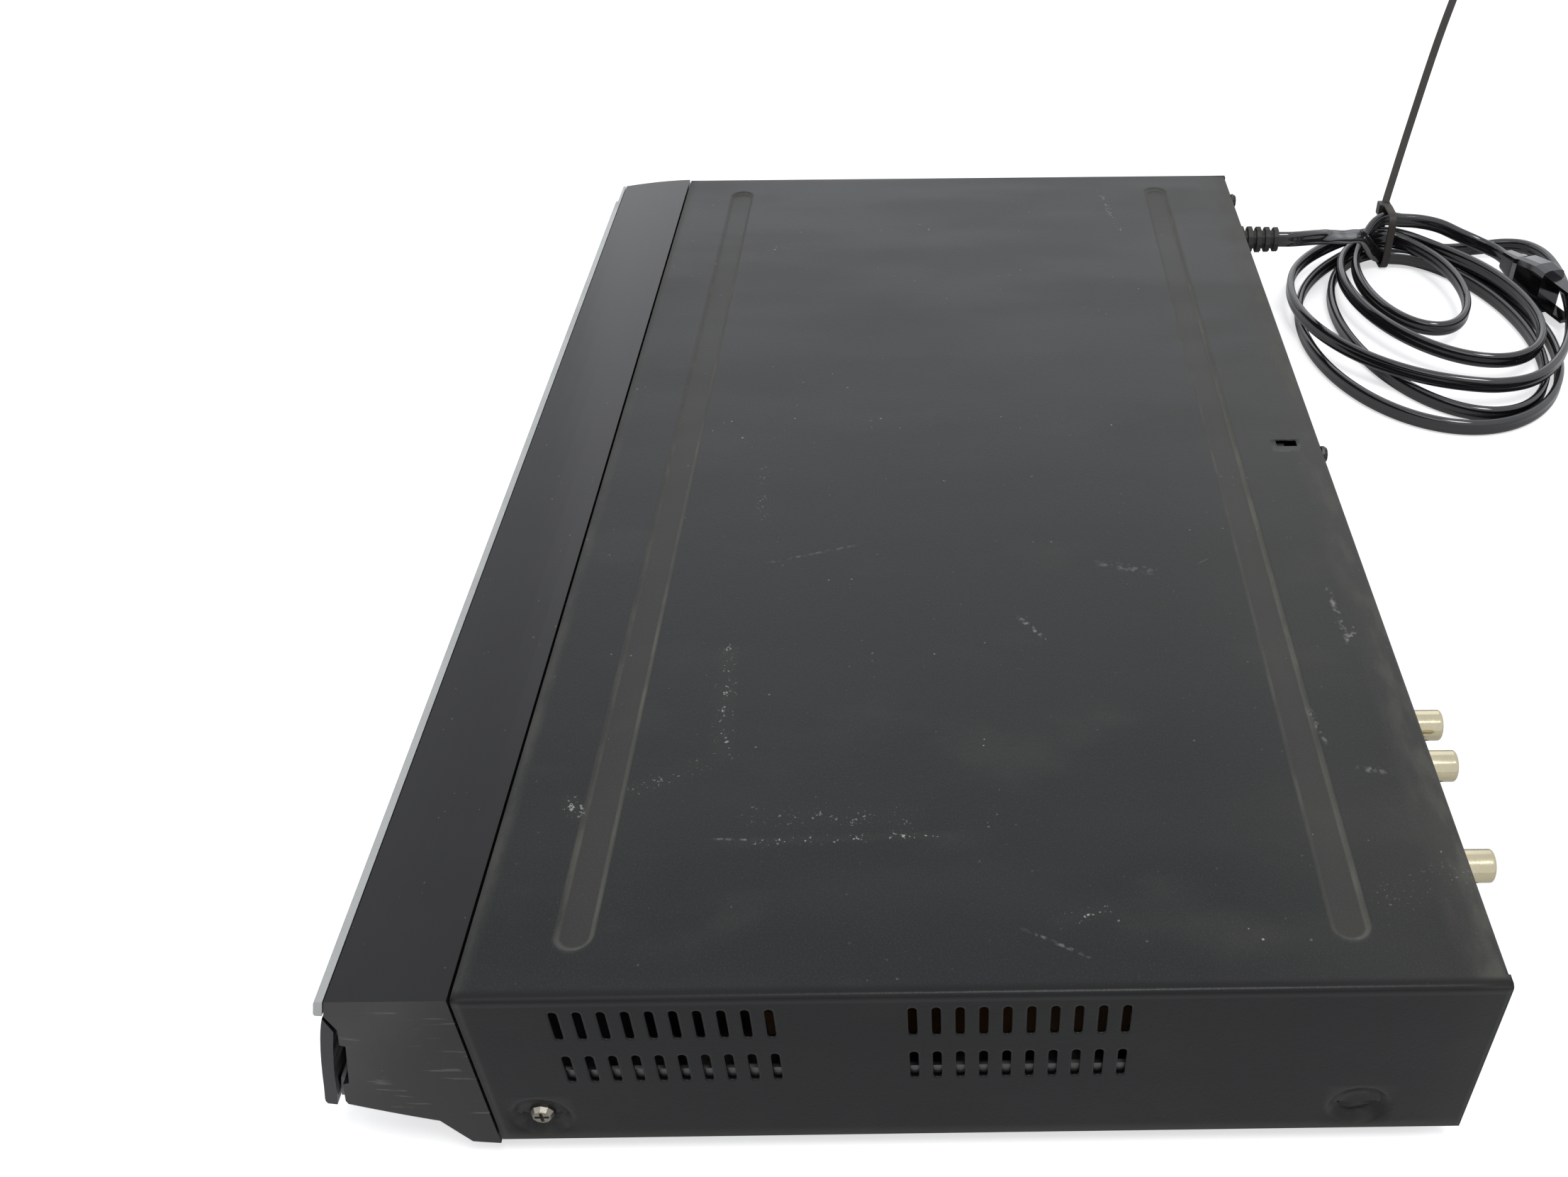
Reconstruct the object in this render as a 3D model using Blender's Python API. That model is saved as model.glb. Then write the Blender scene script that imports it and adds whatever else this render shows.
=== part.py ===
# A slim DVD recorder: a folded steel case, a moulded front with a flip-down door, a disc loader
# driven by a belt, gears and a rack, a playing unit, boards, rear sockets and a tied mains cord.
# Metres, +Z up. The front looks to -Y, and the origin is on the floor under the case's middle.

import math

import bmesh
import bpy
import numpy as np
from mathutils import Matrix, Vector

MM = 0.001

# Case
case_width = 430 * MM
case_height = 54.2 * MM
case_depth = 228.4 * MM
sheet = 0.8 * MM
fold_radius = 1.2 * MM
foot_height = 7 * MM
fit_gap = 0.3 * MM
slide_gap = 0.5 * MM
overrun = 1 * MM
rear_flange_height = 6.6 * MM
corner_notch = 2.5 * MM

# Pressed grooves in the cover's top, and dimples in its sides
groove_half_width = 4.9 * MM
groove_depth = 0.9 * MM
groove_wall_run = 1.6 * MM
groove_margin = 13 * MM
groove_from_front = 23.4 * MM
groove_from_rear = 31.7 * MM
dimple_radius = 8.1 * MM
dimple_floor_radius = 4.2 * MM
dimple_depth = 2.2 * MM
dimple_rise = 9 * MM
dimple_from_front = 11 * MM
dimple_from_rear = 25.8 * MM
hook_slot_length = 6.6 * MM
hook_slot_width = 3.8 * MM
hook_slot_from_rear = 11 * MM
hook_slot_off_middle = 1.6 * MM
hook_width = 2.4 * MM
hook_length = 3.6 * MM

# Vents in the cover's sides
vent_width = 2 * MM
vent_height = 10.2 * MM
vent_pitch = 5.2 * MM
vents_in_row = 10
vent_row_drops = (9.7 * MM, 25.9 * MM)
vent_group_starts = (20.9 * MM, 98.8 * MM)

# Screws
screw_head_radius = 2.9 * MM
screw_head_height = 1.9 * MM
screw_shank_radius = 1.3 * MM
screw_hole_radius = 1.8 * MM
thread_clearance = 0.05 * MM
screw_length = 6 * MM
screw_tab_half_width = 7 * MM
screw_cross_length = 3.4 * MM
screw_cross_width = 0.8 * MM
screw_cross_depth = 1.2 * MM
rear_screw_drop = 3.6 * MM
rear_screw_inset = 19 * MM

# Front
front_reach = 39.1 * MM
seam = 0.7 * MM
bezel_wall = 2.2 * MM
end_taper = 1.5 * MM
top_crown_power = 1.7
panel_gap = 0.6 * MM
trim_step_length = 15 * MM
trim_step_depth = 0.9 * MM
rib_thickness = 1.6 * MM
hinge_ear_width = 4 * MM
hinge_ear_radius = 1.9 * MM
hinge_pin_radius = 0.6 * MM
hinge_bore_clearance = 0.1 * MM
hinge_bar_thickness = 0.9 * MM
hinge_bar_rise = 1.4 * MM
hinge_bar_height = 3.8 * MM
hinge_ear_inset = 3 * MM

# Front outlines, as shares of front_reach forwards and of case_height downwards
bezel_front_shares = (
    (0.752, 0.133),
    (0.710, 0.222),
    (0.739, 0.328),
    (0.706, 0.334),
    (0.793, 0.603),
    (0.836, 0.618),
    (0.871, 0.745),
    (0.862, 0.768),
    (0.338, 0.860),
    (0.187, 1.018),
)
bezel_top_share = (0.711, 0.035)
bezel_foot_share = 1.031
bezel_hollow_shares = (
    (0.648, 0.100),
    (0.645, 0.226),
    (0.650, 0.334),
    (0.734, 0.603),
    (0.775, 0.640),
    (0.806, 0.728),
    (0.310, 0.818),
    (0.140, 0.972),
)
trim_shares = (
    (0.719, 0.036),
    (0.762, 0.037),
    (0.775, 0.048),
    (0.806, 0.120),
    (0.801, 0.131),
    (0.760, 0.131),
)
slab_outer_shares = (
    (0.768, 0.149),
    (0.788, 0.186),
    (0.812, 0.235),
    (0.836, 0.290),
    (0.868, 0.370),
    (0.902, 0.462),
    (0.934, 0.555),
    (0.966, 0.655),
    (0.996, 0.740),
    (1.0, 0.760),
    (0.993, 0.777),
)
slab_inner_shares = (
    (0.934, 0.779),
    (0.918, 0.736),
    (0.898, 0.681),
    (0.862, 0.560),
    (0.824, 0.450),
    (0.777, 0.330),
    (0.737, 0.236),
)
door_pivot_share = (0.836, 0.735)
rib_shares = ((0.740, 0.400), (0.805, 0.600), (0.895, 0.600), (0.826, 0.400))

# Disc tray and its flap
tray_side = 5.2 * MM
tray_thickness = 6.6 * MM
tray_front_y = -29.2 * MM
tray_length = 172 * MM
tray_floor_thickness = 1.6 * MM
disc_recess_radius = 60.8 * MM
small_disc_radius = 40.8 * MM
small_disc_drop = 0.8 * MM
disc_from_tray_front = 68 * MM
disc_plane_drop = 18.2 * MM
tray_rim_height = 1.9 * MM
hub_hole_radius = 18.5 * MM
tray_slot_width = 52 * MM
tray_corner = 5 * MM
flap_overlap = 3 * MM
flap_top_drop = 12.3 * MM
flap_height = 14.2 * MM
flap_gap = 0.5 * MM
flap_lug_width = 12 * MM
flap_lug_height = 4.4 * MM
flap_lug_spread = 48 * MM
tray_port_side = 1.5 * MM
tray_port_height = 14.5 * MM

# Drive chassis
chassis_wall = 2.2 * MM
tray_side_gap = 2.8 * MM
chassis_front_y = -21 * MM
chassis_length = 188 * MM
chassis_rise_share = 0.1697
chassis_top_drop = 13.8 * MM
chassis_floor = 2 * MM
well_side_gap = 5 * MM
well_front = 20 * MM
well_end_gap = 1.8 * MM
rail_hold = 2.5 * MM
rail_height = 2 * MM
hold_down_length = 8 * MM
hold_down_starts = (4 * MM, 70 * MM, 140 * MM)
post_radius = 4 * MM
post_inset = 9 * MM
post_front = 8 * MM
chin_clearance = 4.5 * MM
chin_start = 11 * MM
bridge_front = 24 * MM
bridge_length = 28 * MM
bridge_thickness = 1.6 * MM
bridge_rise = 0.9 * MM
clamp_hole_radius = 13 * MM
clamp_radius = 15 * MM
clamp_neck_radius = 11 * MM
clamp_cap_radius = 15.5 * MM
clamp_flange = 1.1 * MM

# Loader drive, seen from above
tooth_module = 1.5 * MM
drive_gear_teeth = 12
wheel_module = 1.2 * MM
wheel_teeth = 24
pulley_pinion_teeth = 8
tooth_width_share = 0.40
tooth_tip_share = 0.22
tooth_head_share = 0.85
tooth_foot_share = 1.2
rack_inset = 10 * MM
rack_back = 3.2 * MM
rack_height = 3.6 * MM
rack_start = 12 * MM
gear_y = 3 * MM
drive_gear_height = 3.2 * MM
wheel_height = 2.6 * MM
pulley_radius = 13 * MM
pulley_height = 4 * MM
pulley_rim = 1 * MM
belt_thickness = 1.2 * MM
belt_running_gap = 0.1 * MM
motor_pulley_radius = 3.5 * MM
motor_distance = 36 * MM
motor_radius = 12 * MM
motor_height_share = 0.2
motor_flat = 9.5 * MM
shaft_radius = 1 * MM
small_chamfer = 0.5 * MM
shaft_clearance = 0.05 * MM
gear_post_radius = 1.5 * MM
round_steps = 14
small_round_steps = 10
fine_round_steps = 20
rod_steps = 10
capacitor_steps = 8
phono_steps = 12
disc_recess_steps = 32
merge_distance = 0.001 * MM

# Playing unit
spindle_rise = 0.3 * MM
turntable_radius = 14.5 * MM
turntable_height = 2.8 * MM
hub_radius = 7.3 * MM
hub_height = 2.6 * MM
spindle_motor_radius = 13 * MM
frame_half_width = 38 * MM
frame_front_ahead = 19 * MM
frame_length = 108 * MM
frame_thickness = 4 * MM
frame_drop = 8.5 * MM
sled_window_half_width = 29.5 * MM
sled_window_start = 15.5 * MM
sled_window_end = 3.5 * MM
rod_radius = 1.5 * MM
rod_spread = 24 * MM
rod_clearance = 0.1 * MM
sled_half_width = 21 * MM
sled_length = 30 * MM
sled_start = 18.5 * MM
sled_height = 7 * MM
sled_corner = 3 * MM
sled_skirt = 1 * MM
sled_shoe_wall = 1 * MM
lens_radius = 3.4 * MM
lens_rise = 0.7 * MM
lens_forward = 6 * MM
screw_shaft_radius = 1.4 * MM
screw_core_radius = 1.05 * MM
screw_running_gap = 0.08 * MM
screw_shaft_offset = 28 * MM
thread_pitch = 6.9 * MM
screw_threads = 9
rod_block = 4 * MM
rod_seat = 2.5 * MM
follower_rise = 1.2 * MM

# Boards and power
board_thickness = 1.6 * MM
board_rise = 7 * MM
standoff_radius = 2.5 * MM
standoff_inset = 6 * MM
main_board_gap = 24 * MM
main_board_inset = 19 * MM
main_board_front = 58 * MM
main_board_rear_inset = 12.4 * MM
power_board_inset = 8 * MM
power_board_width = 48 * MM
power_board_gap = 13 * MM
power_board_front = 52 * MM
power_board_rear_inset = 23.4 * MM
board_corner = 4 * MM
chip_height = 2.2 * MM
chip_size = 22 * MM
capacitor_radius = 8 * MM
capacitor_height = 24 * MM
small_capacitor_radius = 4 * MM
small_capacitor_height = 11 * MM
transformer_width = 30 * MM
transformer_length_share = 0.17
transformer_height = 24 * MM
transformer_corner = 5 * MM
sink_length_share = 0.15
sink_height = 26 * MM
sink_base = 2 * MM
sink_fin = 1 * MM
sink_fins = 6
sink_depth = 14 * MM
board_part_sink = 0.2 * MM
base_sheet = 1 * MM
base_side_rise = 26.5 * MM
base_front_rise = 7 * MM
base_slot_width = 3 * MM
base_slot_length = 26 * MM
base_slot_pitch = 14 * MM
base_slots = 7

# Feet
foot_radius = 13.5 * MM
foot_sole_radius = 11.5 * MM
foot_recess_radius = 5 * MM
foot_recess = 2 * MM
foot_edge = 1 * MM
foot_side_inset = 42 * MM
foot_front_inset = 26 * MM
foot_rear_inset = 34 * MM

# Rear
jack_reach = 10 * MM
jack_radius = 4.15 * MM
jack_wall = 0.8 * MM
jack_edge = 0.5 * MM
jack_insulator_radius = 2.6 * MM
jack_bore_radius = 1.6 * MM
jack_root = 2 * MM
jack_insets = (94.5 * MM, 79 * MM, 44.5 * MM)
jack_row_drop = 11.3 * MM
lower_row_drop = 27 * MM
jack_block_depth = 12 * MM
jack_block_margin = 8 * MM
hdmi_share = 0.418
hdmi_drop_share = 0.701
hdmi_width = 15.4 * MM
hdmi_height = 6.4 * MM
hdmi_shell = 0.5 * MM
hdmi_length = 12 * MM
hdmi_corner = 1.8 * MM
hdmi_tongue = 1.2 * MM
aerial_inset = 17 * MM
aerial_drop_share = 0.443
aerial_pitch_share = 0.258
aerial_radius = 4.7 * MM
aerial_length = 8 * MM
aerial_bore = 1.2 * MM
aerial_block_width = 17 * MM
aerial_board_gap = 0.6 * MM
aerial_block_depth = 30 * MM
fan_off_drive = 37 * MM
fan_side_share = 0.738
fan_depth = 10 * MM
fan_corner = 3 * MM
fan_spoke = 1.5 * MM
fan_spoke_inset = 0.2 * MM
fan_drop_share = 0.5166
fan_bore_wall = 1.4 * MM
fan_hub_share = 0.511
fan_blade_gap = 0.7 * MM
fan_blades = 7
fan_blade_thickness = 0.9 * MM
fan_blade_turn_degrees = 34
fan_spoke_degrees = (35, 155, 275)
grille_slots = 6
grille_slot_width = 3.4 * MM
grille_pitch = 5.8 * MM

# Buttons and front parts
button_gap = 0.35 * MM
opening_corner = 1 * MM
opening_ledge = 1 * MM
button_stem = 7 * MM
power_button_inset = 25 * MM
power_button_width = 16 * MM
power_button_height = 7 * MM
power_button_drop = 22 * MM
eject_button_width = 11 * MM
eject_button_height = 6 * MM
eject_button_drop = 20 * MM
row_button_height = 4.6 * MM
row_button_drop = 33 * MM
row_buttons = 3
row_button_shares = (0.147, 0.338, 0.235)
window_top_drop = 12 * MM
window_height = 14 * MM
display_depth = 5 * MM
display_margin = 3 * MM
inner_button_radius = 2.6 * MM
inner_button_rise = 1 * MM
inner_button_pitch = 14 * MM
inner_button_drop = 24.5 * MM
front_jack_count = 3
front_jack_pitch = 14 * MM
front_jack_drop = 25.5 * MM
front_jack_radius = 4.4 * MM
front_jack_block_depth = 9 * MM
front_jack_proud = 0.9 * MM

# The front's right side, from the flap to the end: how its free width is shared out
eject_gap_share = 0.029
window_gap_share = 0.042
window_share = 0.443
fascia_end_share = 0.059
inner_button_share = 0.142
front_jack_share = 0.124

# Mains cord
cord_width = 6.5 * MM
cord_thickness = 3.3 * MM
relief_inset = 23 * MM
relief_drop = 18.8 * MM
relief_length = 21.3 * MM
relief_root = 4 * MM
relief_core_radius = 3.7 * MM
relief_rib_radius = 5.7 * MM
relief_tip_radius = 5 * MM
relief_ribs = 6
relief_rib_share = 0.52

# The cord's route from the relief to the tie, chosen by hand from the photographed lie. All the
# cord's places count along x from its relief, along y from the cover's rear face and from the floor
run_route = np.array(
    (
        (0.0, 21.45, 42.4),
        (0.0, 28.25, 42.4),
        (-6.0, 37.75, 40.2),
        (-17.0, 48.75, 35.5),
        (-29.5, 58.75, 29.5),
        (-38.0, 65.25, 26.0),
        (-44.3, 70.25, 22.6),
        (-50.2, 75.25, 17.0),
        (-57.2, 81.25, 9.2),
    )
) * MM
plug_route = np.array(
    (
        (-66.8, 93.75, 20.4),
        (-66.0, 102.75, 20.0),
        (-64.5, 112.25, 18.4),
        (-62.0, 121.75, 15.0),
        (-58.5, 130.75, 12.2),
        (-52.0, 137.25, 11.2),
        (-44.5, 139.65, 11.2),
    )
) * MM
tail_route = np.array(
    (
        (-72.5, 87.25, 17.5),
        (-76.5, 88.25, 23.0),
        (-83.0, 91.75, 34.0),
        (-95.0, 98.75, 56.0),
        (-110.0, 108.75, 89.0),
        (-126.0, 120.25, 118.0),
    )
) * MM
run_steps = 14

# The coil: every turn leaves the tie and comes back to it. Each row holds a turn's half length,
# its half width, how far its outer end swings to the rear, and how far its rear side leans left
tie_place = (-65 * MM, 87.65 * MM)
coil_turns = np.array(
    (
        (72.0, 40.0, 14.0, 0.0),
        (77.0, 53.0, 4.0, 0.0),
        (67.0, 62.0, 18.0, 48.0),
        (57.0, 37.0, 22.0, 0.0),
        (43.0, 22.0, 4.0, 0.0),
    )
) * MM
pass_columns = np.array((4.8, 0.0, -4.6, -4.6, 0.0, -2.0)) * MM
coil_layers = (3.6 * MM, 11 * MM, 19.4 * MM)
coil_climbs = ((2.07, 2.27), (4.835, 4.99))
tie_lift = 1.8 * MM
tie_share = 0.12
points_a_turn = 24
section_shares = ((0.5, 0.30), (0.0, 0.5), (-0.5, 0.30), (-0.5, -0.30), (0.0, -0.5), (0.5, -0.30))
run_section_shares = (
    (0.5, 0.26),
    (0.24, 0.5),
    (-0.24, 0.5),
    (-0.5, 0.26),
    (-0.5, -0.26),
    (-0.24, -0.5),
    (0.24, -0.5),
    (0.5, -0.26),
)
tie_width = 4.8 * MM
tie_thickness = 1.1 * MM
tie_clearance = 1.4 * MM
tie_under_clearance = 1 * MM
tie_head = 7 * MM
tie_head_height = 5 * MM
tie_tail_width = 4.4 * MM
tie_tail_thickness = 1.2 * MM
plug_length = 34 * MM
plug_width = 12 * MM
plug_height = 21 * MM
plug_neck = 8.6 * MM
plug_turn_degrees = 17
plug_centre_height = 11.2 * MM
blade_length = 16 * MM
blade_width = 6.3 * MM
blade_thickness = 1.5 * MM
blade_spacing = 12.7 * MM

# Places that follow from the sizes above
half_width = case_width / 2
base_z = foot_height
top_z = base_z + case_height
front_y = (front_reach - jack_reach - case_depth) / 2
rear_y = front_y + case_depth
base_top = base_z + base_sheet
panel_face = rear_y - sheet - fit_gap
panel_back = panel_face - sheet
disc_z = top_z - disc_plane_drop
tray_top = disc_z + tray_rim_height
tray_bottom = tray_top - tray_thickness
disc_y = front_y + tray_front_y + disc_from_tray_front
chassis_y = front_y + chassis_front_y
chassis_bottom = base_top + chassis_rise_share * case_height
chassis_top = top_z - chassis_top_drop
board_bottom = base_top + board_rise
board_top = board_bottom + board_thickness
frame_top = disc_z - frame_drop
sled_window_length = frame_length - frame_front_ahead - sled_window_start - sled_window_end
pivot = (
    front_y - door_pivot_share[0] * front_reach,
    top_z - door_pivot_share[1] * case_height,
)
tray_width = 2 * (disc_recess_radius + tray_side)
flap_width = tray_width + 2 * flap_overlap
chassis_width = tray_width + 2 * (chassis_wall + tray_side_gap)
rail_reach = chassis_wall + tray_side_gap + rail_hold
power_board_left = power_board_inset - half_width
power_board_right = power_board_left + power_board_width
chassis_left = power_board_right + power_board_gap
chassis_right = chassis_left + chassis_width
drive_x = (chassis_left + chassis_right) / 2
well_width = 2 * (frame_half_width + well_side_gap)
main_board_left = chassis_right + main_board_gap
main_board_right = half_width - main_board_inset
jack_places = [half_width - inset for inset in jack_insets]
hdmi_x = main_board_left + hdmi_share * (jack_places[0] - main_board_left)
aerial_x = half_width - aerial_inset
aerial_top_drop = aerial_drop_share * case_height
aerial_pitch = aerial_pitch_share * case_height
hdmi_drop = hdmi_drop_share * case_height
fan_side = fan_side_share * case_height
fan_drop = fan_drop_share * case_height
fan_bore_radius = fan_side / 2 - fan_bore_wall
fan_hub_radius = fan_hub_share * fan_bore_radius
fan_x = drive_x - fan_off_drive
relief_x = relief_inset - half_width
cord_origin = np.array((relief_x, rear_y, 0))
rear_screw_places = (rear_screw_inset - half_width, 0)

# The front's pieces from the flap to the right end
flap_right = drive_x + flap_width / 2
power_button_x = power_button_inset - half_width
inner_buttons_width = inner_button_pitch + 2 * inner_button_radius
front_jacks_width = (front_jack_count - 1) * front_jack_pitch + 2 * front_jack_radius
fixed_width = eject_button_width + panel_gap + inner_buttons_width + front_jacks_width
free_width = half_width - flap_right - fixed_width
eject_button_x = flap_right + eject_gap_share * free_width + eject_button_width / 2
window_left = eject_button_x + eject_button_width / 2 + window_gap_share * free_width
window_width = window_share * free_width
window_right = window_left + window_width
fascia_right = window_right + fascia_end_share * free_width
door_left = fascia_right + panel_gap
inner_button_x = door_left + inner_button_share * free_width + inner_button_radius
inner_buttons_end = inner_button_x + inner_button_pitch + inner_button_radius
front_jack_x = inner_buttons_end + front_jack_share * free_width + front_jack_radius
row_button_x, row_button_pitch, row_button_width = (
    share * window_width for share in row_button_shares
)


def front_point(shares):
    """A point of a front outline, (y, z), from its shares forwards and downwards."""
    return (front_y - shares[0] * front_reach, top_z - shares[1] * case_height)


def clear_scene():
    for thing in list(bpy.data.objects):
        bpy.data.objects.remove(thing, do_unlink=True)


def finish(name, colour, roughness, metallic=0.0):
    """A Principled material with one plain colour."""
    made = bpy.data.materials.get(name)
    if made is None:
        made = bpy.data.materials.new(name)
        made.use_nodes = True
        shader = made.node_tree.nodes["Principled BSDF"]
        shader.inputs["Base Color"].default_value = (*colour, 1.0)
        shader.inputs["Roughness"].default_value = roughness
        shader.inputs["Metallic"].default_value = metallic
        made.diffuse_color = (*colour, 1.0)
    return made


BLACK_PAINT = ("black_paint", (0.045, 0.046, 0.044), 0.55, 0.2)
BLACK_PLASTIC = ("black_plastic", (0.022, 0.022, 0.023), 0.3)
SILVER_TRIM = ("silver_trim", (0.56, 0.57, 0.55), 0.35, 0.4)
GREY_PLASTIC = ("grey_plastic", (0.22, 0.22, 0.23), 0.5)
SMOKED_WINDOW = ("smoked_window", (0.012, 0.012, 0.016), 0.12)
BARE_STEEL = ("bare_steel", (0.55, 0.56, 0.57), 0.38, 1.0)
NICKEL = ("nickel", (0.62, 0.58, 0.46), 0.22, 1.0)
RUBBER = ("rubber", (0.018, 0.018, 0.018), 0.75)
BROWN_BOARD = ("brown_board", (0.22, 0.10, 0.035), 0.6)
WHITE_PLASTIC = ("white_plastic", (0.72, 0.72, 0.68), 0.45)
YELLOW_TAPE = ("yellow_tape", (0.62, 0.46, 0.08), 0.5)
LENS_GLASS = ("lens_glass", (0.10, 0.13, 0.22), 0.05)
CORD_BLACK = ("cord_black", (0.012, 0.012, 0.013), 0.28)
TIE_BROWN = ("tie_brown", (0.055, 0.042, 0.030), 0.5)


def put_in_scene(name, shape, origin=None, keep_sharp=35):
    """Makes an object of a bmesh in world coordinates, with its origin where asked."""
    place = Vector(origin) if origin is not None else Vector((0, 0, 0))
    bmesh.ops.translate(shape, verts=shape.verts, vec=-place)
    bmesh.ops.recalc_face_normals(shape, faces=shape.faces)
    mesh = bpy.data.meshes.new(name)
    shape.to_mesh(mesh)
    shape.free()
    mesh.shade_smooth()
    mesh.set_sharp_from_angle(angle=math.radians(keep_sharp))
    thing = bpy.data.objects.new(name, mesh)
    thing.location = place
    bpy.context.scene.collection.objects.link(thing)
    return thing


def piece(name, shape, look, origin=None):
    """A visible piece of the recorder."""
    thing = put_in_scene(name, shape, origin)
    thing.data.materials.append(finish(*look))
    return thing


def gather(shapes):
    """Several bodies in one bmesh."""
    whole = bmesh.new()
    for shape in shapes:
        part = bpy.data.meshes.new("part")
        bmesh.ops.recalc_face_normals(shape, faces=shape.faces)
        shape.to_mesh(part)
        shape.free()
        whole.from_mesh(part)
        bpy.data.meshes.remove(part)
    return whole


def change(target, operation, shapes):
    """Adds, cuts or keeps shapes with one exact Boolean, whose tool is left as a hidden guide."""
    if not isinstance(shapes, (list, tuple)):
        shapes = [shapes]
    tool = put_in_scene(f"{target.name}_{operation.lower()}_guide", gather(shapes))
    tool.hide_render = True
    tool.display_type = "WIRE"
    step = target.modifiers.new(operation.title(), "BOOLEAN")
    step.operation = operation
    step.object = tool
    return target


def cut(target, shapes):
    return change(target, "DIFFERENCE", shapes)


def join(target, shapes):
    return change(target, "UNION", shapes)


def prism(outline, axis, low, high):
    """An outline extruded from low to high: (y, z) along X, (x, z) along Y or (x, y) along Z."""
    shape = bmesh.new()
    place = {
        "X": lambda a, b: (low, a, b),
        "Y": lambda a, b: (a, low, b),
        "Z": lambda a, b: (a, b, low),
    }[axis]
    way = {"X": (high - low, 0, 0), "Y": (0, high - low, 0), "Z": (0, 0, high - low)}[axis]
    face = shape.faces.new([shape.verts.new(place(a, b)) for a, b in outline])
    grown = bmesh.ops.extrude_face_region(shape, geom=[face])
    moved = [item for item in grown["geom"] if isinstance(item, bmesh.types.BMVert)]
    bmesh.ops.translate(shape, verts=moved, vec=way)
    bmesh.ops.recalc_face_normals(shape, faces=shape.faces)
    return shape


def block(x_low, x_high, y_low, y_high, z_low, z_high):
    outline = [(x_low, y_low), (x_high, y_low), (x_high, y_high), (x_low, y_high)]
    return prism(outline, "Z", z_low, z_high)


def arc(middle, radius, start, end, steps):
    """Points on an arc, from start to end degrees."""
    turns = np.radians(np.linspace(start, end, steps + 1))
    return [(middle[0] + radius * math.cos(turn), middle[1] + radius * math.sin(turn)) for turn in turns]


def circle(middle, radius, steps):
    return arc(middle, radius, 0, 360 * (steps - 1) / steps, steps - 1)


def stadium(middle, half_length, radius, steps, upright=False):
    """A long hole's outline with round ends. half_length reaches from its middle to its tip."""
    reach = half_length - radius
    right = arc((reach, 0), radius, -90, 90, steps)
    left = arc((-reach, 0), radius, 90, 270, steps)
    points = right + left
    if upright:
        points = [(-b, a) for a, b in points]
    return [(middle[0] + a, middle[1] + b) for a, b in points]


def rounded(x_low, x_high, y_low, y_high, radius, steps=3):
    """A rectangle with round corners."""
    corners = (
        ((x_high - radius, y_low + radius), -90),
        ((x_high - radius, y_high - radius), 0),
        ((x_low + radius, y_high - radius), 90),
        ((x_low + radius, y_low + radius), 180),
    )
    points = []
    for middle, start in corners:
        points += arc(middle, radius, start, start + 90, steps)
    return points


def loft(rings):
    """A closed body through rings of equally many points, with its two ends filled."""
    shape = bmesh.new()
    made = [[shape.verts.new(point) for point in ring] for ring in rings]
    for lower, upper in zip(made, made[1:]):
        for i in range(len(lower)):
            j = (i + 1) % len(lower)
            shape.faces.new((lower[i], lower[j], upper[j], upper[i]))
    shape.faces.new(list(reversed(made[0])))
    shape.faces.new(made[-1])
    bmesh.ops.recalc_face_normals(shape, faces=shape.faces)
    return shape


def turned(profile, steps, middle=(0, 0, 0), axis="Z"):
    """A profile of (radius, height) points, both ends on the axis, spun about the axis."""
    shape = bmesh.new()
    points = [shape.verts.new((radius, 0, height)) for radius, height in profile]
    edges = [shape.edges.new(pair) for pair in zip(points, points[1:])]
    bmesh.ops.spin(
        shape,
        geom=points + edges,
        cent=(0, 0, 0),
        axis=(0, 0, 1),
        angle=2 * math.pi,
        steps=steps,
        use_merge=True,
    )
    bmesh.ops.remove_doubles(shape, verts=shape.verts, dist=merge_distance)
    if axis == "X":
        shape.transform(Matrix.Rotation(math.radians(90), 4, "Y"))
    elif axis == "Y":
        shape.transform(Matrix.Rotation(math.radians(-90), 4, "X"))
    shape.transform(Matrix.Translation(middle))
    bmesh.ops.recalc_face_normals(shape, faces=shape.faces)
    return shape


def rod(radius, low, high, steps, middle=(0, 0, 0), axis="Z"):
    """A plain round bar from low to high along its axis."""
    return turned([(0, low), (radius, low), (radius, high), (0, high)], steps, middle, axis)


def pressed(outline_at, level, depth, wall, reach, floor_reach):
    """What a press tool adds behind a sheet and cuts before it: (body, hollow)."""
    back = [
        outline_at(reach + wall, level - wall / 2),
        outline_at(floor_reach + wall, level - depth - wall),
    ]
    hollow = [
        outline_at(reach, level + overrun),
        outline_at(reach, level),
        outline_at(floor_reach, level - depth),
    ]
    return loft(back), loft(hollow)


def groove_parts(y):
    """The two bodies of one long groove in the cover's top."""

    def ring(half, height):
        length = half_width - groove_margin - groove_half_width + half
        return [(a, b, height) for a, b in stadium((0, y), length, half, 3)]

    floor = groove_half_width - groove_wall_run
    return pressed(ring, top_z, groove_depth, sheet, groove_half_width, floor)


def dimple_parts(y, side):
    """The two bodies of one round dimple in a side of the cover."""

    def ring(radius, height):
        points = circle((y, base_z + dimple_rise), radius, round_steps)
        return [(side * height, a, b) for a, b in points]

    return pressed(ring, half_width, dimple_depth, sheet, dimple_radius, dimple_floor_radius)


def vent_cutters(side):
    """Every vent of one side, as upright slots with round ends."""
    inner = side * (half_width - sheet - overrun)
    outer = side * (half_width + overrun)
    made = []
    for start in vent_group_starts:
        for drop in vent_row_drops:
            for i in range(vents_in_row):
                middle = (front_y + start + i * vent_pitch, top_z - drop)
                outline = stadium(middle, vent_height / 2, vent_width / 2, 2, upright=True)
                made.append(prism(outline, "X", min(inner, outer), max(inner, outer)))
    return made


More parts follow.
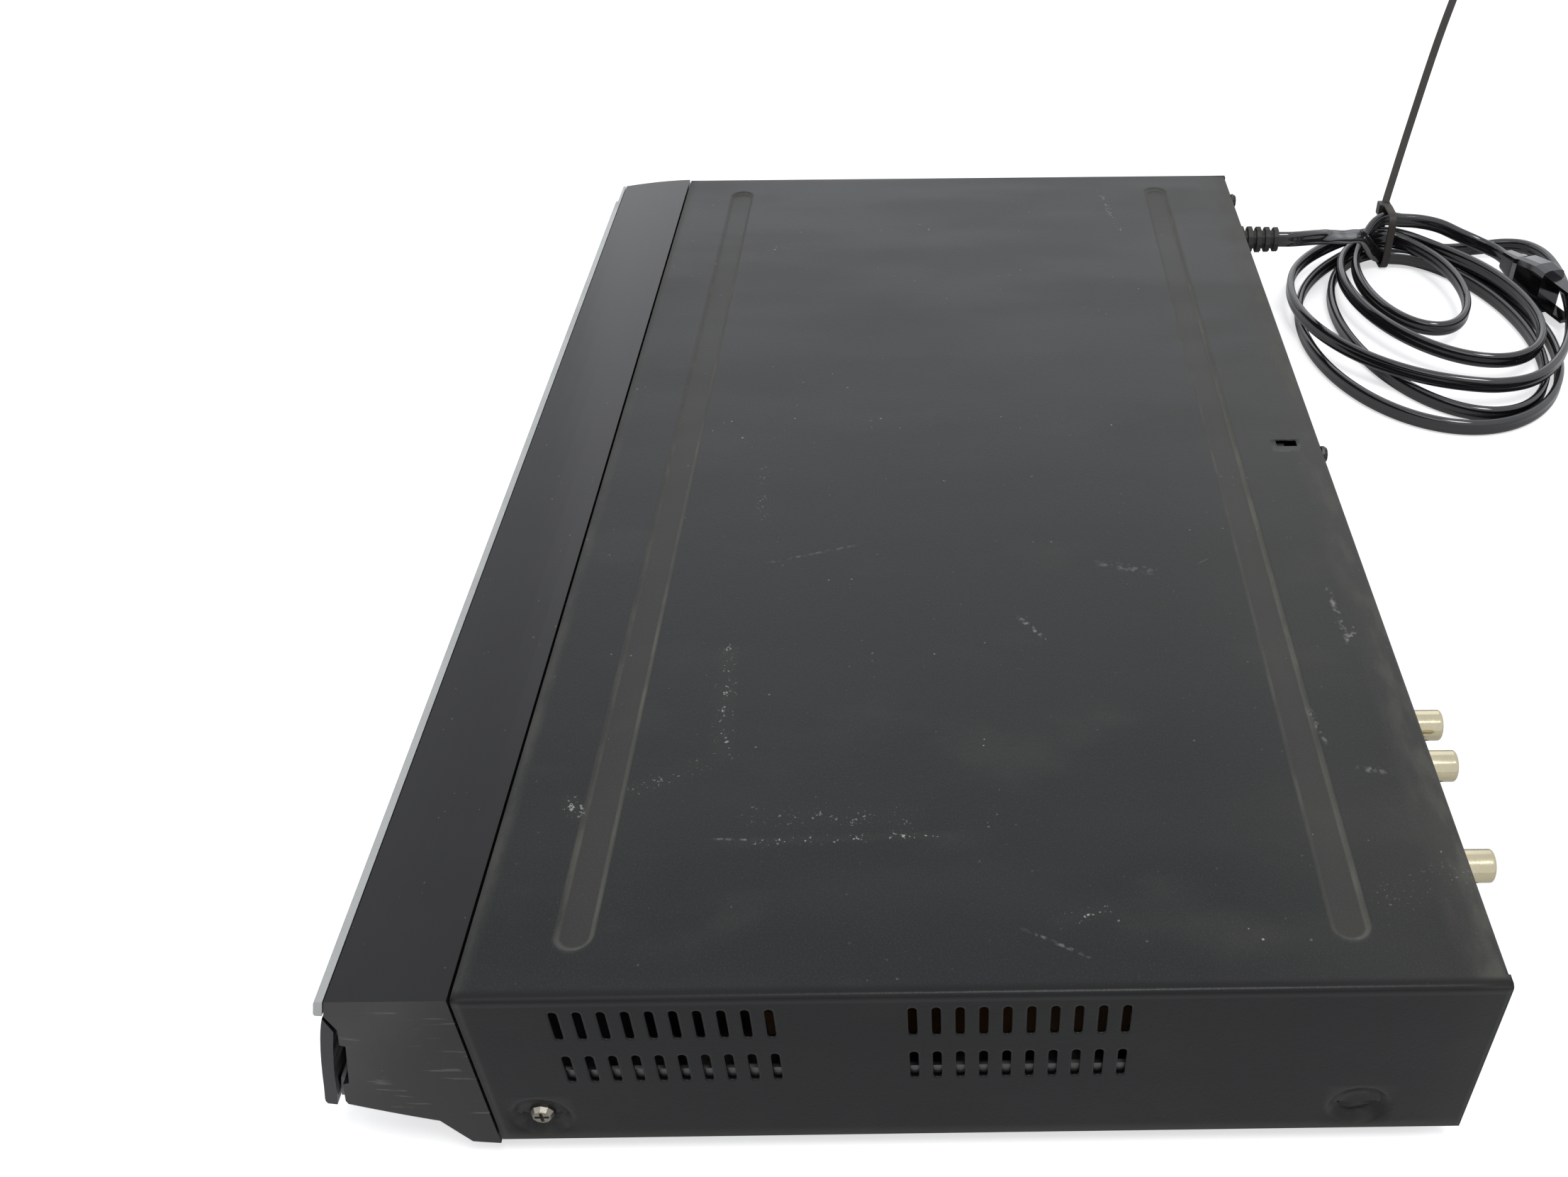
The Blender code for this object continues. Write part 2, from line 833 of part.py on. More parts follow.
def top_cover():
    """One sheet folded over the top and both sides, pressed, vented, with a flange at the rear."""
    left = (-half_width + fold_radius, top_z - fold_radius)
    right = (half_width - fold_radius, top_z - fold_radius)
    inner_radius = fold_radius - sheet
    outline = [(-half_width, base_z)]
    outline += arc(left, fold_radius, 180, 90, 3)
    outline += arc(right, fold_radius, 90, 0, 3)
    outline += [(half_width, base_z), (half_width - sheet, base_z)]
    outline += arc(right, inner_radius, 0, 90, 2)
    outline += arc(left, inner_radius, 90, 180, 2)
    outline += [(-half_width + sheet, base_z)]
    cover = piece("top_cover", prism(outline, "Y", front_y, rear_y), BLACK_PAINT)
    flange_end = half_width - sheet - corner_notch
    flange_low = top_z - rear_flange_height
    parts = [groove_parts(front_y + groove_from_front), groove_parts(rear_y - groove_from_rear)]
    for side in (-1, 1):
        parts.append(dimple_parts(front_y + dimple_from_front, side))
        parts.append(dimple_parts(rear_y - dimple_from_rear, side))
    join(cover, [body for body, hollow in parts])
    join(cover, block(-flange_end, flange_end, rear_y - sheet, rear_y, flange_low, top_z - sheet / 2))
    cut(cover, [hollow for body, hollow in parts])
    cut(cover, vent_cutters(-1) + vent_cutters(1))
    hook_y = rear_y - hook_slot_from_rear
    slot = block(
        -hook_slot_off_middle - hook_slot_width / 2,
        -hook_slot_off_middle + hook_slot_width / 2,
        hook_y - hook_slot_length / 2,
        hook_y + hook_slot_length / 2,
        top_z - sheet - overrun,
        top_z + overrun,
    )
    screw_holes = []
    side_place = (0, front_y + dimple_from_front, base_z + dimple_rise)
    for side in (-1, 1):
        low, high = sorted((side * (half_width - dimple_radius), side * (half_width + overrun)))
        screw_holes.append(rod(screw_hole_radius, low, high, small_round_steps, side_place, "X"))
    low, high = rear_y - sheet - overrun, rear_y + overrun
    for x in rear_screw_places:
        place = (x, 0, top_z - rear_screw_drop)
        screw_holes.append(rod(screw_hole_radius, low, high, small_round_steps, place, "Y"))
    cut(cover, [slot, *screw_holes])
    hook_start = hook_y - hook_slot_length / 2 - sheet
    hook = block(
        -hook_slot_off_middle - hook_width / 2,
        -hook_slot_off_middle + hook_width / 2,
        hook_start,
        hook_start + hook_length,
        top_z - sheet * 2,
        top_z - sheet / 2,
    )
    join(cover, hook)
    return cover


def screw(name, place, axis, way):
    """A pan-head screw with a cross recess. Its head points along way on the axis."""
    profile = [
        (0, -screw_length),
        (screw_shank_radius, -screw_length),
        (screw_shank_radius, 0),
        (screw_head_radius, 0),
        (screw_head_radius, screw_head_height * 0.4),
        (screw_head_radius * 0.75, screw_head_height),
        (0, screw_head_height),
    ]
    if way < 0:
        profile = [(radius, -height) for radius, height in reversed(profile)]
    made = piece(name, turned(profile, small_round_steps, place, axis), BARE_STEEL, place)
    deep = screw_head_height - screw_cross_depth
    high = screw_head_height + overrun
    cross = []
    for long, wide in (
        (screw_cross_length, screw_cross_width),
        (screw_cross_width, screw_cross_length),
    ):
        low_end, high_end = sorted((way * deep, way * high))
        across = ((-long / 2, long / 2), (-wide / 2, wide / 2))
        deep_span = (low_end, high_end)
        spans = (deep_span, *across) if axis == "X" else (across[0], deep_span, across[1])
        bar = block(*spans[0], *spans[1], *spans[2])
        bar.transform(Matrix.Translation(place))
        cross.append(bar)
    cut(made, cross[0])
    cut(made, cross[1])
    return made


def screws():
    side_y = front_y + dimple_from_front
    side_z = base_z + dimple_rise
    for name, side in (("side_screw_left", -1), ("side_screw_right", 1)):
        face = half_width - dimple_depth + fit_gap
        screw(name, (side * face, side_y, side_z), "X", side)
    for name, x in zip(("rear_screw_left", "rear_screw_middle"), rear_screw_places):
        screw(name, (x, rear_y + fit_gap, top_z - rear_screw_drop), "Y", 1)


def chassis_base():
    """The folded steel pan under everything, with side walls inside the cover."""
    out = half_width - sheet - fit_gap
    rise = base_z + base_side_rise
    outline = [
        (-out, rise),
        (-out, base_z),
        (out, base_z),
        (out, rise),
        (out - base_sheet, rise),
        (out - base_sheet, base_top),
        (-out + base_sheet, base_top),
        (-out + base_sheet, rise),
    ]
    pan = piece("chassis_base", prism(outline, "Y", front_y, panel_back - fit_gap), BARE_STEEL)
    inside = out - base_sheet / 2
    low, high = base_z + base_sheet / 2, base_z + base_front_rise
    wall = block(-inside, inside, front_y, front_y + base_sheet, low, high)
    join(pan, wall)
    reliefs = []
    for side in (-1, 1):
        for y in (front_y + dimple_from_front, rear_y - dimple_from_rear):
            reach = dimple_radius + sheet + slide_gap
            low, high = sorted((side * (out - base_sheet - overrun), side * (out + overrun)))
            reliefs.append(rod(reach, low, high, small_round_steps, (0, y, base_z + dimple_rise), "X"))
    cut(pan, reliefs)
    tabs = []
    holes = []
    screw_y = front_y + dimple_from_front
    screw_z = base_z + dimple_rise
    for side in (-1, 1):
        outer = half_width - dimple_depth - sheet - fit_gap
        low, high = sorted((side * outer, side * (outer - base_sheet)))
        tabs.append(
            block(
                low,
                high,
                screw_y - screw_tab_half_width,
                screw_y + screw_tab_half_width,
                base_z + base_sheet / 2,
                screw_z + screw_tab_half_width,
            )
        )
        bore = screw_shank_radius + thread_clearance
        holes.append(rod(bore, low - overrun, high + overrun, small_round_steps, (0, screw_y, screw_z), "X"))
    join(pan, tabs)
    cut(pan, holes)
    slots = []
    for i in range(base_slots):
        y = front_y + main_board_front + i * base_slot_pitch
        middle = ((main_board_left + main_board_right) / 2, y)
        outline = stadium(middle, base_slot_length / 2, base_slot_width / 2, 2)
        slots.append(prism(outline, "Z", base_z - overrun, base_top + overrun))
    cut(pan, slots)
    return pan


def feet():
    profile = [
        (0, foot_recess),
        (foot_recess_radius, foot_recess),
        (foot_recess_radius, 0),
        (foot_sole_radius, 0),
        (foot_sole_radius + foot_edge, foot_edge),
        (foot_radius, foot_height - fit_gap),
        (0, foot_height - fit_gap),
    ]
    xs = (("left", foot_side_inset - half_width), ("right", half_width - foot_side_inset))
    ys = (("front", front_y + foot_front_inset), ("rear", rear_y - foot_rear_inset))
    for row, y in ys:
        for side, x in xs:
            piece(f"foot_{row}_{side}", turned(profile, round_steps, (x, y, 0)), RUBBER, (x, y, 0))


def end_half_width(y):
    """Half the front's width at a place y: it tapers forwards along a curve."""
    ahead = max(0.0, (front_y - y) / front_reach) / bezel_top_share[0]
    return half_width - end_taper * ahead**top_crown_power


def front_plan():
    """The front's outline seen from above, a little longer than the front."""
    ys = [front_y + overrun] + [front_y - front_reach * share / 8 for share in range(9)]
    ys.append(front_y - front_reach - overrun)
    right = [(end_half_width(y), y) for y in ys]
    return right + [(-x, y) for x, y in reversed(right)]


def keep_inside_plan(target):
    """Trims a piece of the front to the outline seen from above."""
    return change(target, "INTERSECT", prism(front_plan(), "Z", -overrun, top_z + overrun))


def bezel_outline():
    rear = front_y - seam
    steps = 6
    top = []
    for i in range(steps + 1):
        share = bezel_top_share[0] * i / steps
        drop = bezel_top_share[1] * (i / steps) ** top_crown_power
        point = front_point((share, drop))
        top.append((min(point[0], rear), point[1]))
    bottom = (rear, top_z - bezel_foot_share * case_height)
    return top + [front_point(shares) for shares in bezel_front_shares] + [bottom]


def port(x, z, wide, tall, reach=0.0, steps=2):
    """A cutter through the front wall round (x, z), larger than its piece by reach on every side."""
    half = wide / 2 + reach
    high = tall / 2 + reach
    outline = rounded(x - half, x + half, z - high, z + high, opening_corner, steps)
    return prism(outline, "Y", front_y - front_reach - overrun, front_y - bezel_wall)


def flap_middle():
    return top_z - flap_top_drop - flap_height / 2


def window_middle():
    return (window_left + window_right) / 2, top_z - window_top_drop - window_height / 2


def front_bezel():
    """The moulded front: top, cheeks, chin and a recessed face with its openings."""
    bezel = piece("front_bezel", prism(bezel_outline(), "X", -half_width, half_width), BLACK_PLASTIC)
    keep_inside_plan(bezel)
    inner = half_width - end_taper - bezel_wall
    hollow = [(front_y + overrun, top_z - bezel_wall)]
    hollow += [front_point(shares) for shares in bezel_hollow_shares]
    hollow += [(front_y + overrun, front_point(bezel_hollow_shares[-1])[1])]
    cut(bezel, prism(hollow, "X", -inner, inner))
    ports = [port(drive_x, flap_middle(), tray_width, tray_port_height, tray_port_side, 1)]
    window_reach = window_width - 2 * display_margin
    ports.append(port(*window_middle(), window_reach, window_height - 2 * opening_ledge))
    for x, z, wide, tall in fascia_button_places():
        ports.append(port(x, z, wide, tall, button_gap + opening_ledge, 1))
    low, high = front_y - front_reach, front_y - bezel_wall
    for x in inner_button_places():
        middle = (x, 0, top_z - inner_button_drop)
        ports.append(rod(inner_button_radius + button_gap, low, high, small_round_steps, middle, "Y"))
    for x in front_jack_places():
        middle = (x, 0, top_z - front_jack_drop)
        ports.append(rod(front_jack_radius + fit_gap, low, high, small_round_steps, middle, "Y"))
    cut(bezel, ports)
    notches = []
    wide = hinge_ear_width / 2 + slide_gap
    reach = hinge_ear_radius + slide_gap
    low, high = pivot[1] - 2 * reach, pivot[1] + reach
    for x in hinge_ear_places():
        notches.append(block(x - wide, x + wide, front_y - front_reach, pivot[0] + reach, low, high))
    cut(bezel, notches)
    first, last = hinge_ear_places()
    reach = hinge_ear_width / 2 + slide_gap + overrun
    join(bezel, rod(hinge_pin_radius, first - reach, last + reach, 12, (0, *pivot), "X"))
    return bezel


def hinge_ear_places():
    """The middles of the door's two ears."""
    first = door_left + hinge_ear_inset + hinge_ear_width / 2
    last = half_width - end_taper - bezel_wall - hinge_ear_inset
    return (first, last)


def front_trim():
    """The silver strip along the front's top edge, with a shallower stretch at its left end."""
    outline = [front_point(shares) for shares in trim_shares]
    trim = piece("front_trim", prism(outline, "X", -half_width, half_width), SILVER_TRIM)
    keep_inside_plan(trim)
    step_end = -half_width + end_taper + trim_step_length
    upper = front_point(trim_shares[2])
    lower = front_point(trim_shares[3])
    lean = lower[0] - upper[0]
    tall = upper[1] - lower[1]
    outer = [
        (upper[0] + trim_step_depth - lean, upper[1] + tall),
        (lower[0] + trim_step_depth + lean, lower[1] - tall),
        (lower[0] - front_reach, lower[1] - tall),
        (lower[0] - front_reach, upper[1] + tall),
    ]
    cut(trim, prism(outer, "X", -half_width, step_end))
    return trim


def slab_outline():
    """The bulging front slab's outline, shared by the fascia, door, flap and buttons."""
    return [front_point(shares) for shares in (*slab_outer_shares, *slab_inner_shares)]


def fascia_button_places():
    """(x, z, width, height) of the buttons in the fixed fascia."""
    places = [
        (power_button_x, top_z - power_button_drop, power_button_width, power_button_height),
        (eject_button_x, top_z - eject_button_drop, eject_button_width, eject_button_height),
    ]
    for i in range(row_buttons):
        x = window_left + row_button_x + i * row_button_pitch
        places.append((x, top_z - row_button_drop, row_button_width, row_button_height))
    return places


def inner_button_places():
    return inner_button_x, inner_button_x + inner_button_pitch


def front_jack_places():
    return [front_jack_x + i * front_jack_pitch for i in range(front_jack_count)]


def front_fascia():
    """The fixed left part of the front, with holes for the tray's flap, window and buttons."""
    fascia = piece("front_fascia", prism(slab_outline(), "X", -half_width, fascia_right), BLACK_PLASTIC)
    ribs = []
    rib = [front_point(shares) for shares in rib_shares]
    for x in (
        power_button_x - power_button_width,
        drive_x - flap_width / 2 - button_stem,
        window_left - rib_thickness,
        fascia_right - rib_thickness,
    ):
        ribs.append(prism(rib, "X", x - rib_thickness / 2, x + rib_thickness / 2))
    join(fascia, ribs)
    keep_inside_plan(fascia)
    holes = [port(drive_x, flap_middle(), flap_width, flap_height, flap_gap)]
    holes.append(port(*window_middle(), window_width, window_height, fit_gap))
    for x, z, wide, tall in fascia_button_places():
        holes.append(port(x, z, wide, tall, button_gap))
    cut(fascia, holes)
    return fascia


def slab_patch(name, x, z, wide, tall, look, origin=None):
    """A piece of the front slab inside a rounded rectangle, such as the flap or a button."""
    half = wide / 2 + overrun
    patch = piece(name, prism(slab_outline(), "X", x - half, x + half), look, origin)
    change(patch, "INTERSECT", port(x, z, wide, tall, 0.0, 3))
    return patch


def slab_inner_y(z):
    """The y of the front slab's inner face at a height."""
    points = [front_point(shares) for shares in reversed(slab_inner_shares)]
    heights = [point[1] for point in reversed(points)]
    places = [point[0] for point in reversed(points)]
    return float(np.interp(z, heights, places))


def bezel_face_y(z):
    """The y of the bezel's recessed face at a height."""
    points = [front_point(shares) for shares in bezel_front_shares[3:5]]
    return float(np.interp(z, [points[1][1], points[0][1]], [points[1][0], points[0][0]]))


def front_door():
    """The flip-down door at the right, hung on two ears at its bottom edge."""
    shape = prism(slab_outline(), "X", door_left, half_width)
    door = piece("front_door", shape, BLACK_PLASTIC, (door_left, *pivot))
    keep_inside_plan(door)
    return door


def door_hinge():
    """The grey moulded bar behind the door's bottom edge, with its two ears on the pin."""
    places = hinge_ear_places()
    foot = front_point(slab_inner_shares[1])
    head = front_point(slab_inner_shares[2])
    lean = (head[0] - foot[0]) / (head[1] - foot[1])
    low = pivot[1] - hinge_ear_radius
    high = pivot[1] + hinge_ear_radius

    def inner(z):
        return foot[0] + (z - foot[1]) * lean + fit_gap

    bar_low = pivot[1] + hinge_bar_rise
    bar_high = bar_low + hinge_bar_height
    bar = [
        (inner(bar_low), bar_low),
        (inner(bar_high), bar_high),
        (inner(bar_high) + hinge_bar_thickness, bar_high),
        (inner(bar_low) + hinge_bar_thickness, bar_low),
    ]
    x_low = places[0] - hinge_ear_width / 2
    x_high = places[1] + hinge_ear_width / 2
    made = piece("door_hinge", prism(bar, "X", x_low, x_high), GREY_PLASTIC, (x_low, *pivot))
    outline = [(inner(low), low), (pivot[0], low)]
    outline += arc(pivot, hinge_ear_radius, -90, 90, 8)[1:]
    outline += [(inner(high) + hinge_bar_thickness, high), (inner(high), high)]
    ears = []
    for x in places:
        ears.append(prism(outline, "X", x - hinge_ear_width / 2, x + hinge_ear_width / 2))
    join(made, ears)
    bore_radius = hinge_pin_radius + hinge_bore_clearance
    middle = (0, *pivot)
    cut(made, rod(bore_radius, x_low - overrun, x_high + overrun, small_round_steps, middle, "X"))
    return made


def display_window():
    """The smoked window in the fascia."""
    return slab_patch("display_window", *window_middle(), window_width, window_height, SMOKED_WINDOW)


def display_unit():
    """The display's glass on its small board, behind the window."""
    low = top_z - window_top_drop - window_height + opening_ledge + fit_gap
    high = top_z - window_top_drop - opening_ledge - fit_gap
    left = window_left + display_margin + fit_gap
    right = window_right - display_margin - fit_gap
    face = slab_inner_y(high) + fit_gap
    unit = piece("display_unit", block(left, right, face, face + display_depth, low, high), LENS_GLASS)
    rear = front_y - bezel_wall
    board = block(
        left - display_margin,
        right + display_margin,
        rear - board_thickness,
        rear,
        low - row_button_height,
        high,
    )
    stalk = block(left + display_margin, right - display_margin, face, rear, low + overrun, high - overrun)
    join(unit, stalk)
    join(unit, board)
    return unit


def buttons():
    """The fascia's buttons, cut from the slab, each with a stem to its switch."""
    names = ("power_button", "eject_button", "play_button", "stop_button", "record_button")
    for name, (x, z, wide, tall) in zip(names, fascia_button_places()):
        face = slab_inner_y(z)
        button = slab_patch(name, x, z, wide, tall, GREY_PLASTIC, (x, face, z))
        stem = block(
            x - wide / 4,
            x + wide / 4,
            face - overrun,
            face + button_stem,
            z - tall / 4,
            z + tall / 4,
        )
        join(button, stem)
    for name, x in zip(("channel_down_button", "channel_up_button"), inner_button_places()):
        z = top_z - inner_button_drop
        face = bezel_face_y(z)
        place = (x, face, z)
        profile = [
            (0, -inner_button_rise),
            (inner_button_radius * 0.8, -inner_button_rise),
            (inner_button_radius, -inner_button_rise * 0.6),
            (inner_button_radius, button_stem),
            (0, button_stem),
        ]
        piece(name, turned(profile, small_round_steps, place, "Y"), GREY_PLASTIC, place)


def front_jacks():
    """A block with three phono sockets, behind the recessed face under the door."""
    places = front_jack_places()
    z = top_z - front_jack_drop
    face = bezel_face_y(z)
    lean = bezel_face_y(z + front_jack_radius) - face
    back = face + bezel_wall + front_jack_radius + lean
    left = places[0] - front_jack_pitch * 0.6
    right = places[-1] + front_jack_pitch * 0.6
    half = front_jack_radius + bezel_wall
    unit = piece(
        "front_jacks",
        block(left, right, back, back + front_jack_block_depth, z - half, z + half),
        BLACK_PLASTIC,
    )
    barrels = []
    bores = []
    for x in places:
        tip = face - front_jack_proud
        barrels.append(rod(front_jack_radius, tip, back + overrun, small_round_steps, (x, 0, z), "Y"))
        inner = [
            (0, tip - overrun),
            (jack_bore_radius, tip - overrun),
            (jack_bore_radius, back),
            (0, back),
        ]
        bores.append(turned(inner, small_round_steps, (x, 0, z), "Y"))
    join(unit, barrels)
    cut(unit, bores)
    return unit


def tray_outline_parts():
    """The tray's width limits and its front and rear ends."""
    left = drive_x - tray_width / 2
    right = drive_x + tray_width / 2
    front = front_y + tray_front_y
    return left, right, front, front + tray_length


def disc_tray():
    """The disc tray: two stepped recesses, a slot that is open to the rear, and a rack below."""
    left, right, front, rear = tray_outline_parts()
    plate = rounded(left, right, front, rear, tray_corner)
    shape = prism(plate, "Z", tray_bottom, tray_top)
    tray = piece("disc_tray", shape, BLACK_PLASTIC, (drive_x, front, disc_z))
    middle = (drive_x, disc_y)
    under = tray_bottom - overrun
    floor_low = disc_z - small_disc_drop - tray_floor_thickness
    above = tray_top + overrun
    recess = prism(circle(middle, disc_recess_radius, disc_recess_steps), "Z", disc_z, above)
    low = disc_z - small_disc_drop
    inner = prism(circle(middle, small_disc_radius, fine_round_steps), "Z", low, above)
    underside = block(
        left + rail_reach + rack_inset,
        right - rail_reach,
        front + tray_corner,
        rear + overrun,
        under,
        floor_low,
    )
    cut(tray, recess)
    cut(tray, inner)
    cut(tray, underside)
    hub = prism(circle(middle, hub_hole_radius, fine_round_steps), "Z", under, above)
    half_slot = tray_slot_width / 2
    slot_start = disc_y + sled_window_start - slide_gap * 2
    slot = block(drive_x - half_slot, drive_x + half_slot, slot_start, rear + overrun, under, above)
    throat = block(
        drive_x - hub_hole_radius,
        drive_x + hub_hole_radius,
        disc_y,
        slot_start + overrun,
        under,
        above,
    )
    cut(tray, hub)
    cut(tray, throat)
    cut(tray, slot)
    join(tray, rack_shape())
    return tray


def rack_line():
    """The x of the rack's pitch line."""
    return drive_x - tray_width / 2 + rack_inset


def tooth(width, tip, head, foot):
    """One tooth as (across, out) points, from its left foot to its right foot."""
    root = width - tip / 2
    return [(-root, -foot), (-tip / 2, head), (tip / 2, head), (root, -foot)]


def rack_shape():
    """The rack: straight teeth that face the drive gear, hung from the tray."""
    pitch = math.pi * tooth_module
    width = pitch * tooth_width_share
    tip = pitch * tooth_tip_share
    head = tooth_module * tooth_head_share
    foot = tooth_module * tooth_foot_share
    gear_place = front_y + gear_y
    start = front_y + tray_front_y + rack_start
    first = math.ceil((start - gear_place) / pitch)
    end = front_y + tray_front_y + tray_length - pitch
    last = math.floor((end - gear_place) / pitch)
    line = rack_line()
    points = []
    for i in range(first, last + 1):
        place = gear_place + i * pitch
        points += [(line + out, place + across) for across, out in tooth(width, tip, head, foot)]
    back = line - foot - rack_back
    low_y = points[0][1] - pitch / 4
    high_y = points[-1][1] + pitch / 4
    outline = [(back, low_y), (line - foot, low_y)] + points + [(line - foot, high_y), (back, high_y)]
    return prism(outline, "Z", tray_bottom - rack_height, tray_bottom + overrun)


def tray_flap():
    """The tray's front: a patch of the front slab with two lugs that hold the tray."""
    origin = (drive_x, front_y + tray_front_y, disc_z)
    flap = slab_patch(
        "tray_front", drive_x, flap_middle(), flap_width, flap_height, BLACK_PLASTIC, origin
    )
    middle = (tray_bottom + tray_top) / 2
    lugs = []
    for side in (-1, 1):
        x = drive_x + side * flap_lug_spread
        lugs.append(
            block(
                x - flap_lug_width / 2,
                x + flap_lug_width / 2,
                slab_inner_y(middle) - overrun,
                front_y + tray_front_y - fit_gap,
                middle - flap_lug_height / 2,
                middle + flap_lug_height / 2,
            )
        )
    join(flap, lugs)
    return flap


def drive_chassis():
    """The loader's moulded frame: walls, rails for the tray, a well for the playing unit, posts."""
    left, right = chassis_left, chassis_right
    rear = chassis_y + chassis_length
    frame = piece(
        "drive_chassis",
        block(left, right, chassis_y, rear, chassis_bottom, chassis_top),
        BLACK_PLASTIC,
    )
    inside = block(
        left + chassis_wall,
        right - chassis_wall,
        chassis_y - overrun,
        rear - chassis_wall,
        chassis_bottom + chassis_floor,
        chassis_top + overrun,
    )
    cut(frame, inside)
    well = block(
        drive_x - well_width / 2,
        drive_x + well_width / 2,
        front_y + well_front,
        hinge_y() - rod_block - well_end_gap,
        chassis_bottom - overrun,
        chassis_bottom + chassis_floor + overrun,
    )
    motor_hole = prism(
        circle(motor_place(), motor_radius + slide_gap, fine_round_steps),
        "Z",
        chassis_bottom - overrun,
        chassis_bottom + chassis_floor + overrun,
    )
    cut(frame, [well, motor_hole])
    chin = [
        (chassis_y - overrun, chassis_bottom - overrun),
        (front_y - chin_start, chassis_bottom - overrun),
        (front_y - chin_start, chassis_bottom),
        (chassis_y - overrun, chassis_bottom + chin_clearance),
    ]
    cut(frame, prism(chin, "X", left - overrun, right + overrun))
    rails = []
    rail_top = tray_bottom - fit_gap
    bite = chassis_wall / 2
    tab_low = tray_top + slide_gap
    for edge, way in ((left, 1), (right, -1)):
        low, high = sorted((edge + way * bite, edge + way * rail_reach))
        rails.append(block(low, high, chassis_y, rear - bite, rail_top - rail_height, rail_top))
        for start in hold_down_starts:
            y = chassis_y + start
            rails.append(block(low, high, y, y + hold_down_length, tab_low, chassis_top))
    join(frame, rails)
    posts = []
    for x in (left + post_inset, right - post_inset):
        for y in (front_y + post_front, rear - post_inset):
            low = base_top + fit_gap
            high = chassis_bottom + chassis_floor / 2
            posts.append(rod(post_radius, low, high, small_round_steps, (x, y, 0)))
    floor_mid = chassis_bottom + chassis_floor / 2
    gear_x, gear_at = gear_centre()
    pulley_x, pulley_at = pulley_centre()
    top_of_gear = tray_bottom - slide_gap
    gear_top = top_of_gear - drive_gear_height / 4
    posts.append(rod(gear_post_radius, floor_mid, gear_top, small_round_steps, (gear_x, gear_at, 0)))
    pulley_top = top_of_gear - drive_gear_height - fit_gap
    posts.append(rod(gear_post_radius, floor_mid, pulley_top, small_round_steps, (pulley_x, pulley_at, 0)))
    join(frame, posts)
    ears = []
    for side in (-1, 1):
        x = drive_x + side * (frame_half_width + ear_gap())
        ears.append(
            block(
                min(x, x + side * chassis_wall * 1.5),
                max(x, x + side * chassis_wall * 1.5),
                hinge_y() - rod_block,
                hinge_y() + rod_block,
                floor_mid,
                hinge_z() + rod_block,
            )
        )
    join(frame, ears)
    bores = rod(
        rod_radius + rod_clearance,
        drive_x - frame_half_width - ear_gap() - chassis_wall * 1.5 - overrun,
        drive_x + frame_half_width + ear_gap() + chassis_wall * 1.5 + overrun,
        16,
        (0, hinge_y(), hinge_z()),
        "X",
    )
    cut(frame, bores)
    return frame


def ear_gap():
    return slide_gap * 2


def hinge_y():
    """The y of the playing unit's hinge, behind its window."""
    return disc_y - frame_front_ahead + frame_length - rod_block


def hinge_z():
    return frame_top - frame_thickness / 2


def clamp_bridge():
    """The steel bridge over the tray that carries the disc clamp."""
    left, right = chassis_left, chassis_right
    low = front_y + bridge_front
    bottom = chassis_top + fit_gap
    bridge = piece(
        "clamp_bridge",
        block(left, right, low, low + bridge_length, bottom, bottom + bridge_thickness),
        BARE_STEEL,
    )
    hole = prism(
        circle((drive_x, disc_y), clamp_hole_radius, fine_round_steps),
        "Z",
        bottom - overrun,
        bottom + bridge_thickness + overrun,
    )
    pads = []
    pad_low, pad_high = bottom + bridge_thickness / 2, bottom + bridge_thickness + bridge_rise
    for x in (left, right - chassis_wall):
        pads.append(block(x, x + chassis_wall, low, low + bridge_length, pad_low, pad_high))
    join(bridge, pads)
    cut(bridge, hole)
    return bridge


def disc_clamp():
    """The clamp: a puck held in the bridge's hole by a flange below and a cap above."""
    top = chassis_top + fit_gap + bridge_thickness
    under = chassis_top + fit_gap
    profile = [
        (0, under - fit_gap - clamp_flange),
        (clamp_radius * 0.55, under - fit_gap - clamp_flange),
        (clamp_radius * 0.6, under - fit_gap - clamp_flange * 1.4),
        (clamp_radius, under - fit_gap - clamp_flange * 1.4),
        (clamp_radius, under - fit_gap),
        (clamp_neck_radius, under - fit_gap),
        (clamp_neck_radius, top + fit_gap),
        (clamp_cap_radius, top + fit_gap),
        (clamp_cap_radius, top + fit_gap + clamp_flange),
        (clamp_radius * 0.5, top + fit_gap + clamp_flange * 1.5),
        (0, top + fit_gap + clamp_flange * 1.5),
    ]
    place = (drive_x, disc_y, 0)
    return piece("disc_clamp", turned(profile, round_steps, place), WHITE_PLASTIC, (drive_x, disc_y, top))


def gear_outline(middle, module, teeth, turn):
    """A gear's outline with trapezoid teeth. One tooth points along turn, in radians."""
    radius = module * teeth / 2
    pitch = math.pi * module
    width = pitch * tooth_width_share
    tip = pitch * tooth_tip_share
    head = module * tooth_head_share
    foot = module * tooth_foot_share
    points = []
    for i in range(teeth):
        along = turn + 2 * math.pi * i / teeth
        for across, out in tooth(width, tip, head, foot):
            reach = radius + out
            side = across / reach
            points.append(
                (middle[0] + reach * math.cos(along + side), middle[1] + reach * math.sin(along + side))
            )
    return points


def gear_centre():
    return (rack_line() + tooth_module * drive_gear_teeth / 2, front_y + gear_y)


def pulley_centre():
    x, y = gear_centre()
    return (x + wheel_module * (wheel_teeth + pulley_pinion_teeth) / 2, y)


def motor_place():
    x, y = pulley_centre()
    return (x + motor_distance, y)


